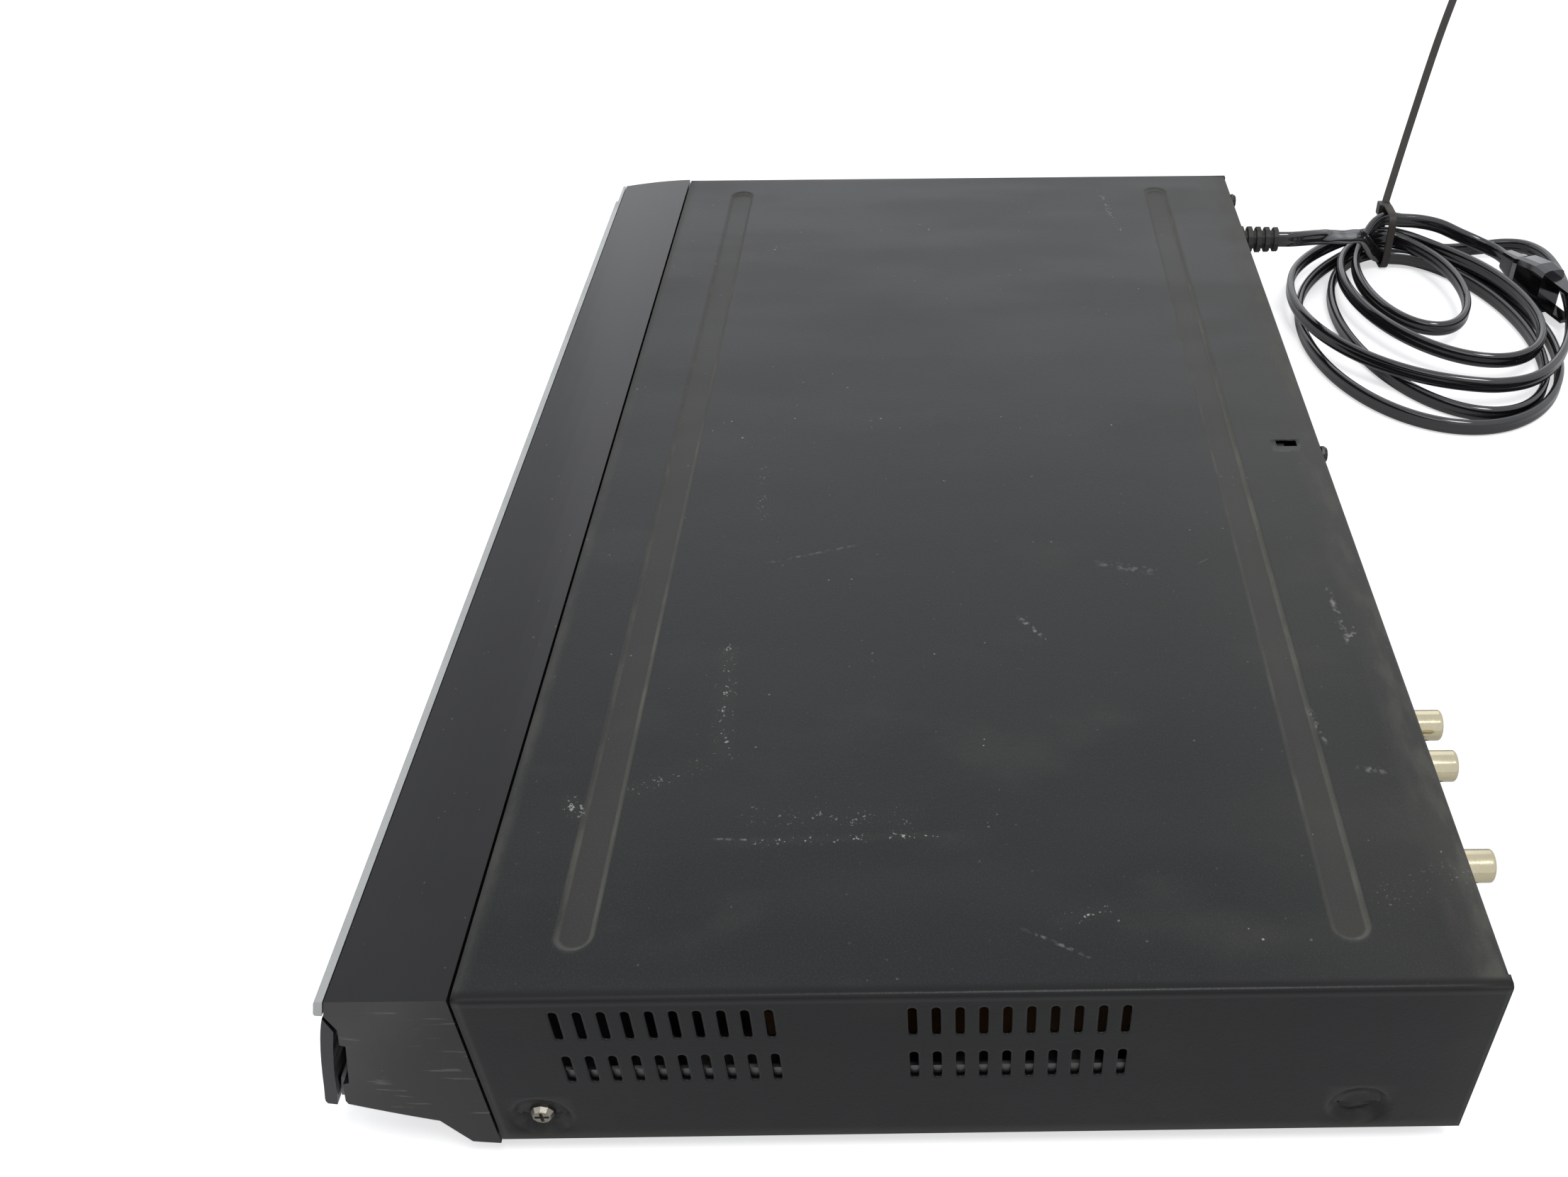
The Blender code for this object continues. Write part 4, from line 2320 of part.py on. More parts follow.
def cable_tie():
    """The tie round the coil's bundle: a band, its head and a long tail that stands up."""
    half = max(abs(pass_columns)) + cord_thickness / 2 + tie_clearance
    low = coil_layers[0] + tie_lift - cord_width / 2 - tie_under_clearance
    high = coil_layers[2] + tie_lift + cord_width / 2 + tie_clearance
    x, y = relief_x + tie_place[0], rear_y + tie_place[1]
    start, end = y - tie_width / 2, y + tie_width / 2
    wall = tie_thickness
    outer = rounded(x - half - wall, x + half + wall, low - wall, high + wall, wall * 2, 2)
    inner = rounded(x - half, x + half, low, high, wall, 2)
    tie = piece("cable_tie", prism(outer, "Y", start, end), TIE_BROWN)
    cut(tie, prism(inner, "Y", start - overrun, end + overrun))
    head_low = high - tie_head
    left = x - half - wall / 2
    head = block(left - tie_head_height, left, y - tie_head / 2, y + tie_head / 2, head_low, high)
    join(tie, head)
    tail = smooth_line(tail_route + cord_origin, len(tail_route) * 2)
    ways = np.gradient(tail, axis=0)
    ways /= np.linalg.norm(ways, axis=1)[:, None]
    across = np.cross(ways, (1, 0, 0))
    across /= np.linalg.norm(across, axis=1)[:, None]
    thick = np.cross(ways, across)
    rings = []
    for place, wide, flat in zip(tail, across, thick):
        corners = ((1, 1), (-1, 1), (-1, -1), (1, -1))
        rings.append(
            [place + wide * a * tie_tail_width / 2 + flat * b * tie_tail_thickness / 2 for a, b in corners]
        )
    join(tie, loft(rings))


clear_scene()
top_cover()
screws()
chassis_base()
feet()
front_bezel()
front_trim()
front_fascia()
front_door()
door_hinge()
display_window()
display_unit()
buttons()
front_jacks()
disc_tray()
tray_flap()
drive_chassis()
clamp_bridge()
disc_clamp()
gears()
loading_motor()
loading_belt()
traverse_frame()
rods()
spindle()
pickup_sled()
main_board()
power_supply()
rear_panel()
rear_sockets()
fan()
strain_relief()
cord()
plug()
cable_tie()
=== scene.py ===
import math

import bpy
import numpy as np
from mathutils import Matrix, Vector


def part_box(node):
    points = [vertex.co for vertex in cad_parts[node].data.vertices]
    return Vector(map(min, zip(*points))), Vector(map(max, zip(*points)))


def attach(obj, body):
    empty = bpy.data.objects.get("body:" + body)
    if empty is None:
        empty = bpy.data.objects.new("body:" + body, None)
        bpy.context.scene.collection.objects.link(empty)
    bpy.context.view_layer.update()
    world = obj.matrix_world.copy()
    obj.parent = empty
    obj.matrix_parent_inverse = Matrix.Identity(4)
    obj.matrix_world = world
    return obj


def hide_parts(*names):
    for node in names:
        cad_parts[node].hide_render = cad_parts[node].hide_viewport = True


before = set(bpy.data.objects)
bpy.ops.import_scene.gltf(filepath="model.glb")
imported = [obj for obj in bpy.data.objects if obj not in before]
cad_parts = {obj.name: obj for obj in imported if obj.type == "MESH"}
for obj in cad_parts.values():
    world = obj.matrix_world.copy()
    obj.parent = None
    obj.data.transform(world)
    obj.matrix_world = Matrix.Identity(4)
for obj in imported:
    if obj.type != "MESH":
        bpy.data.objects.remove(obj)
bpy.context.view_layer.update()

# %% [markdown]
# # A disc recorder, dressed
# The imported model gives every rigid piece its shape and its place. This lesson adds what a shape
# alone can't show: the paint, the dust that years on a shelf left, the scuffs and the soft cord.
# It starts with the camera, because all the rest is judged through it. Where it stood was fitted to
# the photograph: how far it looks down, how far it is turned and rolled, and where its axis meets
# the picture, counted in the picture's pixels.

# %% The camera
MM = 0.001
PHOTO_WIDTH, PHOTO_HEIGHT = 2212, 1660
FOCAL, AXIS_ACROSS, AXIS_DOWN = 2087.98, 1353.57, 1003.5
eye = np.array((408.5, 8.07, 319.4)) * MM
turn, fall, roll = np.radians((-0.5155, 42.341, -0.350))


def add(name, data):
    """Makes an object of this data and puts it in the scene."""
    made = bpy.data.objects.new(name, data)
    bpy.context.scene.collection.objects.link(made)
    return made


def stand(made, right, up, back, place):
    """Sets an object in its place, with its own x, y and z along these three directions."""
    columns = np.column_stack([right, up, back, place])
    made.matrix_world = Matrix(np.vstack([columns, (0, 0, 0, 1)]).tolist())


ahead = -np.array((math.cos(fall) * math.cos(turn), math.cos(fall) * math.sin(turn), math.sin(fall)))
level = np.cross(ahead, (0, 0, 1))
level /= np.linalg.norm(level)
raised = np.cross(level, ahead)
right = math.cos(roll) * level + math.sin(roll) * raised
up = math.cos(roll) * raised - math.sin(roll) * level
lens = bpy.data.cameras.new("camera")
lens.sensor_width = 36
lens.lens = FOCAL / PHOTO_WIDTH * lens.sensor_width
lens.shift_x = (PHOTO_WIDTH / 2 - AXIS_ACROSS) / PHOTO_WIDTH
lens.shift_y = (AXIS_DOWN - PHOTO_HEIGHT / 2) / PHOTO_WIDTH
lens.clip_start, lens.clip_end = 0.01, 20
camera = add("camera", lens)
stand(camera, right, up, -ahead, eye)
bpy.context.scene.camera = camera
print("lens", round(lens.lens, 2), "mm, shift", round(lens.shift_x, 4), round(lens.shift_y, 4))

# %% [markdown]
# ## Surfaces from arrays
# A pressed or moulded skin is easiest to think of as a sheet of graph paper: two numbers name a
# place on it, and a formula says where that place is in space. numpy works out every place at
# once. The helpers below give such a grid its faces, closing it round where the sheet meets itself,
# join several grids into one, and turn the arrays into a mesh.

# %% A mesh from grids of points
def grid_faces(rows, columns, loop_rows=False, loop_columns=False):
    """The four-sided faces between neighbouring points of a grid, as point numbers."""
    number = np.arange(rows * columns).reshape(rows, columns)
    if loop_rows:
        number = np.vstack([number, number[:1]])
    if loop_columns:
        number = np.hstack([number, number[:, :1]])
    corners = [number[:-1, :-1], number[:-1, 1:], number[1:, 1:], number[1:, :-1]]
    return np.stack(corners, axis=-1).reshape(-1, 4)


def joined(parts):
    """Sets the points and the faces of several parts one after another."""
    starts = np.cumsum([0] + [len(points) for points, _ in parts])
    faces = np.vstack([faces + start for start, (_, faces) in zip(starts, parts)])
    return np.vstack([points for points, _ in parts]), faces


def welded(points, faces):
    """Joins the points that lie at one place, to a thousandth of a millimetre."""
    finest = 0.001 * MM
    places, number = np.unique(np.round(points.reshape(-1, 3) / finest), axis=0, return_inverse=True)
    return places * finest, number.reshape(-1)[faces]


def make_mesh(name, points, faces, body, sharp=40):
    """Puts arrays of points and faces into a mesh object that rides on a body. A corner that a face
    names twice counts once, so that a triangle may be written with four corners."""
    mesh = bpy.data.meshes.new(name)
    corners = [list(dict.fromkeys(face)) for face in faces.tolist()]
    mesh.from_pydata(points.reshape(-1, 3).tolist(), [], corners)
    mesh.validate()
    mesh.shade_smooth()
    mesh.set_sharp_from_angle(angle=math.radians(sharp))
    made = add(name, mesh)
    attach(made, body)
    print(name, len(mesh.vertices), "points")
    return made


print("a grid of 2 by 3 points has", len(grid_faces(2, 3)), "faces")

# %% [markdown]
# ## Finishes as arithmetic
# A finish is a recipe: here is the paint, there is dust, the dust is thicker in a groove. Such a
# recipe reads best as sums and products, so a small class lets plain Python signs put in the
# shader's Math nodes. Every pattern reads the object's own coordinates, in metres, and stays on the
# piece when a drawer slides or a door turns.

# %% A socket that can be added and multiplied
class Value:
    """The number or colour at a node's output. Each sign adds one Math node."""

    def __init__(self, finish, socket):
        self.finish, self.socket = finish, socket

    def worked(self, operation, first, second=0.0):
        return self.finish.node("ShaderNodeMath", {"operation": operation}, {0: first, 1: second})

    def __add__(self, other):
        return self.worked("ADD", self, other)

    def __sub__(self, other):
        return self.worked("SUBTRACT", self, other)

    def __rsub__(self, other):
        return self.worked("SUBTRACT", other, self)

    def __mul__(self, other):
        return self.worked("MULTIPLY", self, other)

    def __abs__(self):
        return self.worked("ABSOLUTE", self)

    def at_least(self, least):
        return self.worked("MAXIMUM", self, least)

    __radd__, __rmul__ = __add__, __mul__


def distance(across, rise):
    """The root of the sum of two squares."""
    squares = across * across + rise * rise
    return squares.worked("SQRT", squares)


print("values add, subtract and multiply")

# %% [markdown]
# ## The patterns that all finishes share
# Old surfaces repeat a few patterns: soft blots, round specks, hairlines, and a rise from bare to
# covered. Each is one method here. Blots are noise. Specks are the middles of random cells, and a
# long cell turns its speck into a scratch. Only some cells get their speck, by each cell's own
# random colour, so that the specks don't lie in an even net.

# %% One method for every node, and one for each pattern
class Finish:
    """A material with one Principled shader. What is the same all over is set on its own sockets."""

    def __init__(self, name, **fixed):
        self.material = bpy.data.materials.new(name)
        self.material.use_nodes = True
        self.tree = self.material.node_tree
        self.shader = self.tree.nodes["Principled BSDF"]
        for socket, value in fixed.items():
            self.shader.inputs[socket.replace("_", " ")].default_value = value
        self.place = self.node("ShaderNodeTexCoord", output="Object")
        self.x, self.y, self.z = (self.part(self.place, number) for number in range(3))

    def node(self, kind, settings=None, inputs=None, output=0):
        """Adds a node of this kind, sets its settings first and then its sockets' values or links."""
        made = self.tree.nodes.new(kind)
        for key, value in (settings or {}).items():
            setattr(made, key, value)
        for key, value in (inputs or {}).items():
            if isinstance(value, Value):
                self.tree.links.new(value.socket, made.inputs[key])
            else:
                made.inputs[key].default_value = value
        return Value(self, made.outputs[output])

    def give(self, **varying):
        """Links what changes over the surface to the shader's sockets."""
        for socket, value in varying.items():
            self.tree.links.new(value.socket, self.shader.inputs[socket.replace("_", " ")])

    def part(self, vector, number):
        """One of a vector's three numbers."""
        return self.node("ShaderNodeSeparateXYZ", {}, {0: vector}, number)

    def mapped(self, size, stretch, turn):
        """The object's coordinates, counted in cells of this size, drawn out and turned."""
        scale = tuple(size * share for share in stretch)
        sockets = {"Vector": self.place, "Rotation": (0, 0, math.radians(turn)), "Scale": scale}
        return self.node("ShaderNodeMapping", {"vector_type": "TEXTURE"}, sockets)

    def noise(self, size, detail=3, stretch=(1, 1, 1)):
        """Soft random blots from 0 to 1, about size across, drawn out by the stretch."""
        sockets = {"Vector": self.mapped(size, stretch, 0), "Scale": 1.0, "Detail": detail}
        return self.node("ShaderNodeTexNoise", {}, sockets)

    def blots(self, size, detail, low, high, stretch=(1, 1, 1)):
        """Blots with an edge: 0 where the noise is under low, and 1 where it is over high."""
        return self.smooth(self.noise(size, detail, stretch), low, high)

    def marks(self, size, radius, share, stretch=(1, 1, 1), turn=0):
        """Spots one to a cell of this size, as wide as the radius times the cell, in a share of the
        cells. A long cell turns its spot into a scratch."""
        sockets = {"Vector": self.mapped(size, stretch, turn), "Scale": 1.0}
        spot = self.node("ShaderNodeTexVoronoi", {}, sockets, "Distance")
        lot = self.node("ShaderNodeTexVoronoi", {}, sockets, "Color")
        chance = self.node("ShaderNodeSeparateColor", {}, {0: lot}, 0)
        return (1 - self.smooth(spot, radius * 0.4, radius)) * (1 - self.smooth(chance, share, share + 0.02))

    def smooth(self, value, low, high):
        """0 up to low, 1 from high, and an S-shaped rise between."""
        sockets = {"Value": value, "From Min": low, "From Max": high}
        return self.node("ShaderNodeMapRange", {"interpolation_type": "SMOOTHSTEP"}, sockets)

    def ring(self, value, start, full, fade, end):
        """A band: 0 up to start, 1 between full and fade, and 0 again from end."""
        return self.smooth(value, start, full) * (1 - self.smooth(value, fade, end))

    def mix(self, share, first, second):
        """The first colour where the share is 0, and the second where it is 1."""
        first, second = (c if isinstance(c, Value) else (*c, 1.0) for c in (first, second))
        return self.node("ShaderNodeMix", {"data_type": "RGBA"}, {0: share, 6: first, 7: second}, 2)

    def bump(self, height, depth, under=None):
        """Bends the light as if the surface rose by the height times the depth."""
        sockets = {"Height": height, "Distance": depth, "Strength": 1.0}
        if under is not None:
            sockets["Normal"] = under
        return self.node("ShaderNodeBump", {}, sockets)

    def facing_up(self):
        """1 where the piece's surface looks up, 0 where it looks sideways or down."""
        normal = self.node("ShaderNodeTexCoord", output="Normal")
        return self.smooth(self.part(normal, 2), 0.3, 0.9)


print("the finish class is ready")

# %% [markdown]
# ## The painted cover
# The cover is folded steel under a thin satin powder paint: nearly black, a little green, with a
# fine grain that breaks up every reflection. Its marks follow its shape, so the places of its
# grooves and dimples are measured first. The colours of dust and lint serve every other piece too.

# %% Where the cover's features lie
cover_low, cover_high = (np.array(corner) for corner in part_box("top_cover"))
front_y, rear_y = float(cover_low[1]), float(cover_high[1])
half_width, top_z, base_z = float(cover_high[0]), float(cover_high[2]), float(cover_low[2])
GROOVES = (front_y + 23.4 * MM, rear_y - 31.7 * MM)
GROOVE_HALF, GROOVE_FLOOR, GROOVE_DEPTH, GROOVE_END = 4.9 * MM, 3.3 * MM, 0.9 * MM, half_width - 13 * MM
DIMPLES = (front_y + 11 * MM, rear_y - 25.8 * MM)
DIMPLE_Z, DIMPLE_RADIUS = base_z + 9 * MM, 8.1 * MM
DUST, LINT = (0.265, 0.258, 0.222), (0.62, 0.61, 0.58)
print("cover", round(half_width * 2, 3), "m wide, from y", round(front_y, 4), "to", round(rear_y, 4))

# %% [markdown]
# ## Strokes
# Most of the dust is even enough for noise. The few marks that the eye goes to have a place of their
# own: a row of lint, a powdery smear, a scratch. Each is a straight stroke with soft edges, written
# as where it starts and ends, in millimetres, how wide it is, and how much of it is pale.

# %% Strokes of powder, scratches and smears
SPECKLED = [
    ((170, -44), (168.5, 9), 2.2, 1.0), ((97, -52), (143, -49), 4.5, 0.8), ((7, -50), (41, -48), 3, 0.5),
    ((155, -73), (143, -53), 5, 0.5), ((-136, -72), (-151, -53), 4, 0.7), ((-199, 74), (-157, 79), 3, 0.7),
    ((190, 104), (182, 129), 9, 0.35), ((161, -42), (163, 0), 7, 0.45), ((196, 31), (191, 45), 3, 0.8),
    ((154, -86), (161, -81), 4, 0.9), ((-43, -27), (-38, -24), 2, 0.6),
]
SCRATCHED = [
    ((75, 116), (98, 117), 1.3, 0.7), ((98, 117), (94, 120), 1.0, 0.8), ((124, 101), (138, 103), 1.0, 0.8),
    ((62, 52), (66, 67), 2.6, 0.35), ((87, 28), (94, 33), 1.1, 0.9), ((148, 110), (149, 116), 1.6, 0.7),
    ((198, 25), (206, 39), 0.7, 0.5), ((169, -48), (169.3, -38), 0.6, 0.6), ((60, -45), (52, -20), 0.8, 0.25),
]
SMEARED = [((100, -40), (172, -34), 46, 0.5), ((140, -70), (205, -70), 16, 0.5)]
STROKE_FADE = 3


def along(f, start, end, width):
    """1 near the straight stroke between two places (x, y), 0 past its width and past its ends. How
    far on and how far off the stroke a point lies comes from turning it to the stroke's own axes."""
    (x0, y0), (x1, y1) = start, end
    length = math.hypot(x1 - x0, y1 - y0)
    way_x, way_y = (x1 - x0) / length, (y1 - y0) / length
    east, north = f.x - x0 * MM, f.y - y0 * MM
    on = east * way_x + north * way_y
    off = abs(north * way_x - east * way_y)
    fade = STROKE_FADE * MM
    lengthways = f.ring(on, -fade, fade, length * MM - fade, length * MM + fade)
    return lengthways * (1 - f.smooth(off, 0.0, width * MM))


print(len(SPECKLED) + len(SCRATCHED) + len(SMEARED), "strokes")

# %% [markdown]
# ## Dust on the cover
# Years on a shelf left a film of dust that hands and cloths wiped away in long streaks. It stays
# along the rims, at the far end, behind the rear groove, and most of all in the two pressed grooves,
# where a cloth only pushes it against the rear wall. On the walls it keeps to the base and to the
# slopes of the dimples. Each of these is one mask, and the masks add up to a share of dust.

# %% The film of dust
class CoverPaint(Finish):
    """The cover's paint, with the patterns that its dust, specks and scratches share."""

    def __init__(self):
        super().__init__("cover paint", Specular_IOR_Level=0.28)
        self.up = self.facing_up()
        self.side = 1 - self.up
        self.fine = self.noise(0.45 * MM, 2)
        self.grain = self.noise(1.1 * MM, 3)
        self.cloud = self.noise(60 * MM, 3, (1.4, 1, 1))
        self.wiped = self.blots(26 * MM, 4, 0.40, 0.66, (1, 3.2, 1))
        self.patch = self.blots(30 * MM, 5, 0.52, 0.74, (1, 1.7, 1))
        self.linty = self.blots(5 * MM, 4, 0.40, 0.66, (3, 1, 1))
        front_rim = self.smooth(0.0 - self.y, -front_y - 4 * MM, -front_y)
        self.rim = self.smooth(self.y, rear_y - 12 * MM, rear_y - 2 * MM) + front_rim


def shelf_dust(f):
    """Over the top: a thin film, streaks, patches and fine powder, then the far end, the rear strip,
    the rims and the smears."""
    powdery = f.smooth(f.fine, 0.50, 0.68)
    thin = 0.001 + 0.017 * f.wiped + 0.048 * f.patch * (0.3 + f.grain) + 0.020 * powdery
    far_end = f.smooth(0.0 - f.x, 150 * MM, 214 * MM)
    behind = f.smooth(f.y, rear_y - 70 * MM, rear_y - 18 * MM)
    thick = far_end * 0.02 + behind * 0.044 * (0.5 + f.cloud) + f.rim * (0.06 + 0.14 * f.linty)
    for start, end, width, share in SMEARED:
        thick = thick + along(f, start, end, width) * share * 0.02 * (0.4 + f.cloud)
    return 0.003 + f.up * (thin + thick)


def groove_dust(f):
    """On each groove's bed and on its wall, where the rear half holds more. The distance is taken to
    the groove's middle line, as the sheet's own shape takes it."""
    settled = 0.5 + 0.5 * f.blots(24 * MM, 4, 0.34, 0.62, (2, 1, 1))
    foot = GROOVE_FLOOR - 0.2 * MM, GROOVE_FLOOR + 0.5 * MM
    brow = GROOVE_HALF - 0.7 * MM, GROOVE_HALF
    film = 0.0
    for middle in GROOVES:
        past_end = (abs(f.x) - (GROOVE_END - GROOVE_HALF)).at_least(0.0)
        away = distance(past_end, f.y - middle)
        wall = f.ring(away, *foot, *brow)
        bed = 1 - f.smooth(away, GROOVE_FLOOR, GROOVE_HALF)
        rear = f.smooth(f.y - middle, 0.0, MM)
        film = film + bed * (0.040 + 0.032 * settled) + wall * settled * (0.10 + 0.14 * rear + 0.18 * f.linty)
    return f.up * film


def wall_dust(f):
    """On the upright walls: along the base, in thin blots, at the rims and round each dimple."""
    low = f.smooth(0.0 - f.z, -base_z - 4 * MM, -base_z)
    film = low * 0.12 + 0.008 * f.blots(20 * MM, 4, 0.45, 0.7) + 0.02 * f.rim
    slope = [DIMPLE_RADIUS - inside * MM for inside in (6, 3, 1.5, 0)]
    for middle in DIMPLES:
        reach = distance(f.y - middle, f.z - DIMPLE_Z)
        film = film + f.ring(reach, *slope) * (0.02 + 0.07 * f.linty)
    return f.side * film


print("dust on the top, in", len(GROOVES), "grooves and round", len(DIMPLES), "dimples a side")

# %% [markdown]
# ## Specks and scratches
# Lint and powder show as pale specks, some in rows, thicker where the dust is patchy. The strokes of
# powder light up the grains of a very fine noise, so they look sprinkled and not brushed on.
# Hairlines cross at two angles, a scuff is a short wide scratch with broken edges, and the walls
# just under the top's fold get one thin bright line, a painted highlight.

# %% Specks, lint and scratches
def specks(f):
    """The share of pale specks, and the film of powder that lies along the speckled strokes."""
    spread = f.marks(5 * MM, 0.085, 0.40) + f.marks(2.6 * MM, 0.10, 0.20)
    rows = f.marks(4 * MM, 0.10, 0.5) * f.blots(7 * MM, 2, 0.60, 0.68, (1, 9, 1))
    dots, film = f.up * (spread * (0.06 + f.patch * 0.9) + rows * 0.3), 0.0
    powder, gathering = f.noise(0.8 * MM, 2), f.blots(6 * MM, 3, 0.38, 0.62)
    for start, end, width, share in SPECKLED:
        stroke = along(f, start, end, width) * f.up * share
        dots = dots + f.smooth(powder + stroke * gathering * 0.16, 0.68, 0.76) * stroke * 0.75
        film = film + stroke * 0.018
    walls = f.marks(4.5 * MM, 0.07, 0.22) + f.marks(2.2 * MM, 0.09, 0.35) * f.blots(16 * MM, 3, 0.50, 0.66)
    return dots + f.side * walls * 0.7, film


def scratches(f):
    """Hairlines and scuffs all over the top, the scratched strokes, and hairlines on the walls. Just
    under the top's fold the walls get a thin painted highlight.
    """
    hair = f.marks(9 * MM, 0.028, 0.10, (1, 14, 1), 38) + f.marks(8 * MM, 0.025, 0.10, (1, 12, 1), -24)
    scuff = f.marks(16 * MM, 0.10, 0.05, (1, 2.6, 1), -33) * f.blots(2.2 * MM, 4, 0.5, 0.62)
    top = hair * 0.22 + scuff * 0.4
    broken = f.blots(1.6 * MM, 4, 0.44, 0.66)
    for start, end, width, share in SCRATCHED:
        top = top + along(f, start, end, width) * broken * share
    # Painted highlight: a thin pale band on the walls just under the top's fold.
    painted_fold_highlight = f.ring(f.z, *(top_z - below * MM for below in (3.0, 2.4, 1.8, 1.3)))
    return f.up * top + f.side * (painted_fold_highlight * 0.035 + f.marks(8 * MM, 0.022, 0.15, (1, 9, 3)) * 0.25)


print("specks on the top and walls, and", len(SCRATCHED), "scratches with a place of their own")

# %% [markdown]
# ## The cover's paint, put together
# A share of dust mixes the paint towards dust, and roughens it too, because dust scatters light.
# Paint, dust, lint and scratch are mixed in the order in which they came to lie on the cover. The
# walls get a darker copy of the paint and the top a dark band along each fold, both painted shade,
# and the scratch layer adds a painted highlight just under the fold. Three bumps make the surface:
# the powder paint's grain at two sizes and the faint waves of a thin sheet.

# %% Cover paint
def cover_paint():
    f = CoverPaint()
    dots, powder = specks(f)
    film = shelf_dust(f) + powder + groove_dust(f) + wall_dust(f)
    # Painted shade: the top gets a dark band along its edge at each fold.
    painted_fold_shade = f.smooth(abs(f.x), half_width - 3.2 * MM, half_width - 1.4 * MM) * f.up
    paint = f.mix(f.smooth(f.fine, 0.48, 0.72), (0.0045, 0.0052, 0.0054), (0.0120, 0.0136, 0.0138))
    paint = f.mix(f.cloud * 0.6, paint, (0.0085, 0.0096, 0.0094))
    # Painted shade: the upright walls get a darker copy of the same paint.
    paint = f.mix(f.side * 0.9, paint, (0.0018, 0.0021, 0.0026))
    colour = f.mix(film, paint, DUST)
    colour = f.mix(painted_fold_shade * 0.9, colour, (0.001, 0.001, 0.001))
    colour = f.mix(dots * 0.75, colour, LINT)
    # The scratches, and the painted highlight under the fold, in a pale grey.
    colour = f.mix(scratches(f), colour, (0.26, 0.26, 0.25))
    rough = 0.32 + film * 1.2 + 0.07 * f.cloud + 0.05 * f.wiped + dots * 0.3
    surface = f.bump(f.grain, 0.026 * MM, f.bump(f.fine, 0.030 * MM))
    f.give(Base_Color=colour, Roughness=rough, Normal=f.bump(f.noise(55 * MM, 1), 0.06 * MM, surface))
    print(f.material.name, "has", len(f.tree.nodes), "nodes")
    return f.material


# %% [markdown]
# ## Finishes that only differ in their numbers
# The other finishes share one recipe of age: a grain of some size and depth, blotches of colour, a
# share of dust that is greater on what faces up, specks of lint, and hairline scratches. The table
# further down gives each its numbers, from glossy black mouldings to brushed steel and bare board.

# %% A shared recipe of age
def aged(name, colour, roughness, metallic=0.0, grain=(0.8, 0.02), dust=0.05, lint=0.3, scratch=0.3,
         uneven=0.25, drawn=(1, 1, 1), gloss=0.5):
    """Grain is its size and depth in millimetres, and drawn its stretch; dust, lint, scratch and
    uneven are shares. Metal that dust or lint covers no longer looks like metal."""
    f = Finish(name, Metallic=metallic, Specular_IOR_Level=gloss)
    size, depth = grain
    up = f.facing_up()
    fine = f.noise(size * MM, 3, drawn)
    blot = f.noise(14 * MM, 4)
    film = dust * (0.35 + up * 1.3) * (0.25 + 1.5 * f.blots(11 * MM, 5, 0.38, 0.72))
    dots = lint * (f.marks(4 * MM, 0.075, 0.30) + f.marks(1.9 * MM, 0.09, 0.12)) * (0.4 + up * 0.6)
    crossed = f.marks(7 * MM, 0.024, 0.22, (1, 11, 4), 31) + f.marks(6 * MM, 0.022, 0.2, (1, 9, 4), -52)
    hair = scratch * crossed
    dark = tuple(part * (1 - uneven) for part in colour)
    pale = tuple(min(1.0, part * (1 + uneven)) for part in colour)
    worn = tuple(part + (0.5 - part) * 0.35 for part in colour)
    made = f.mix(blot * 0.6 + fine * 0.4, dark, pale)
    made = f.mix(hair, made, worn)
    made = f.mix(film, made, DUST)
    made = f.mix(dots, made, LINT)
    rough = roughness + (blot - 0.5) * 0.10 + film * 0.8 + hair * 0.15 + dots * 0.3
    f.give(Base_Color=made, Roughness=rough, Normal=f.bump(fine, depth * MM))
    if metallic:
        f.give(Metallic=metallic * (1 - f.smooth(film + dots, 0.1, 0.6)))
    return f.material


# %% [markdown]
# ## The bezel's own wear
# The bezel is one glossy black moulding. Its top is nearly clean. Its two ends are what hands grip
# and what rubs along a shelf, so they carry bundles of fine scratches, and dust has stayed in the
# upper front corner. The bundles are stretched noise, kept only inside the blots of a second noise.

# %% Bezel plastic
def bezel_plastic():
    f = Finish("bezel plastic", Specular_IOR_Level=0.30)
    up = f.facing_up()
    end = f.smooth(abs(f.x), half_width - 4 * MM, half_width - 1 * MM) * (1 - up)
    cloud, fine = f.noise(18 * MM, 4), f.noise(1.6 * MM, 3)
    corner_line = top_z * 0.8 - front_y
    corner = f.smooth(f.z * 0.8 - f.y, corner_line - 8 * MM, corner_line + 14 * MM)
    film = 0.006 + up * 0.010 * cloud + end * (0.02 + 0.09 * corner * (0.3 + cloud))
    sweep = f.blots(3.2 * MM, 2, 0.60, 0.68, (1, 5, 0.35))
    rubbed = end * sweep * f.blots(9 * MM, 3, 0.46, 0.62)
    hair = f.marks(8 * MM, 0.022, 0.16, (1, 10, 3), 24) + f.marks(7 * MM, 0.022, 0.14, (1, 8, 3), -47)
    dots = f.marks(4 * MM, 0.07, 0.22) + f.marks(2 * MM, 0.08, 0.08)
    made = f.mix(film, f.mix(cloud, (0.0078, 0.0078, 0.0082), (0.0100, 0.0100, 0.0104)), DUST)
    made = f.mix(rubbed * 0.22 + hair * 0.16, made, (0.30, 0.30, 0.29))
    made = f.mix(dots * 0.3, made, LINT)
    rough = 0.21 + film * 0.9 + rubbed * 0.12 + dots * 0.3
    f.give(Base_Color=made, Roughness=rough, Normal=f.bump(fine + cloud * 2, 0.004 * MM))
    return f.material


# %% [markdown]
# ## The table of finishes
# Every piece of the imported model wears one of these. Colours are written as the light that comes
# back, from 0 to 1, so black plastic is a hundredth and silver paint nearly a half.

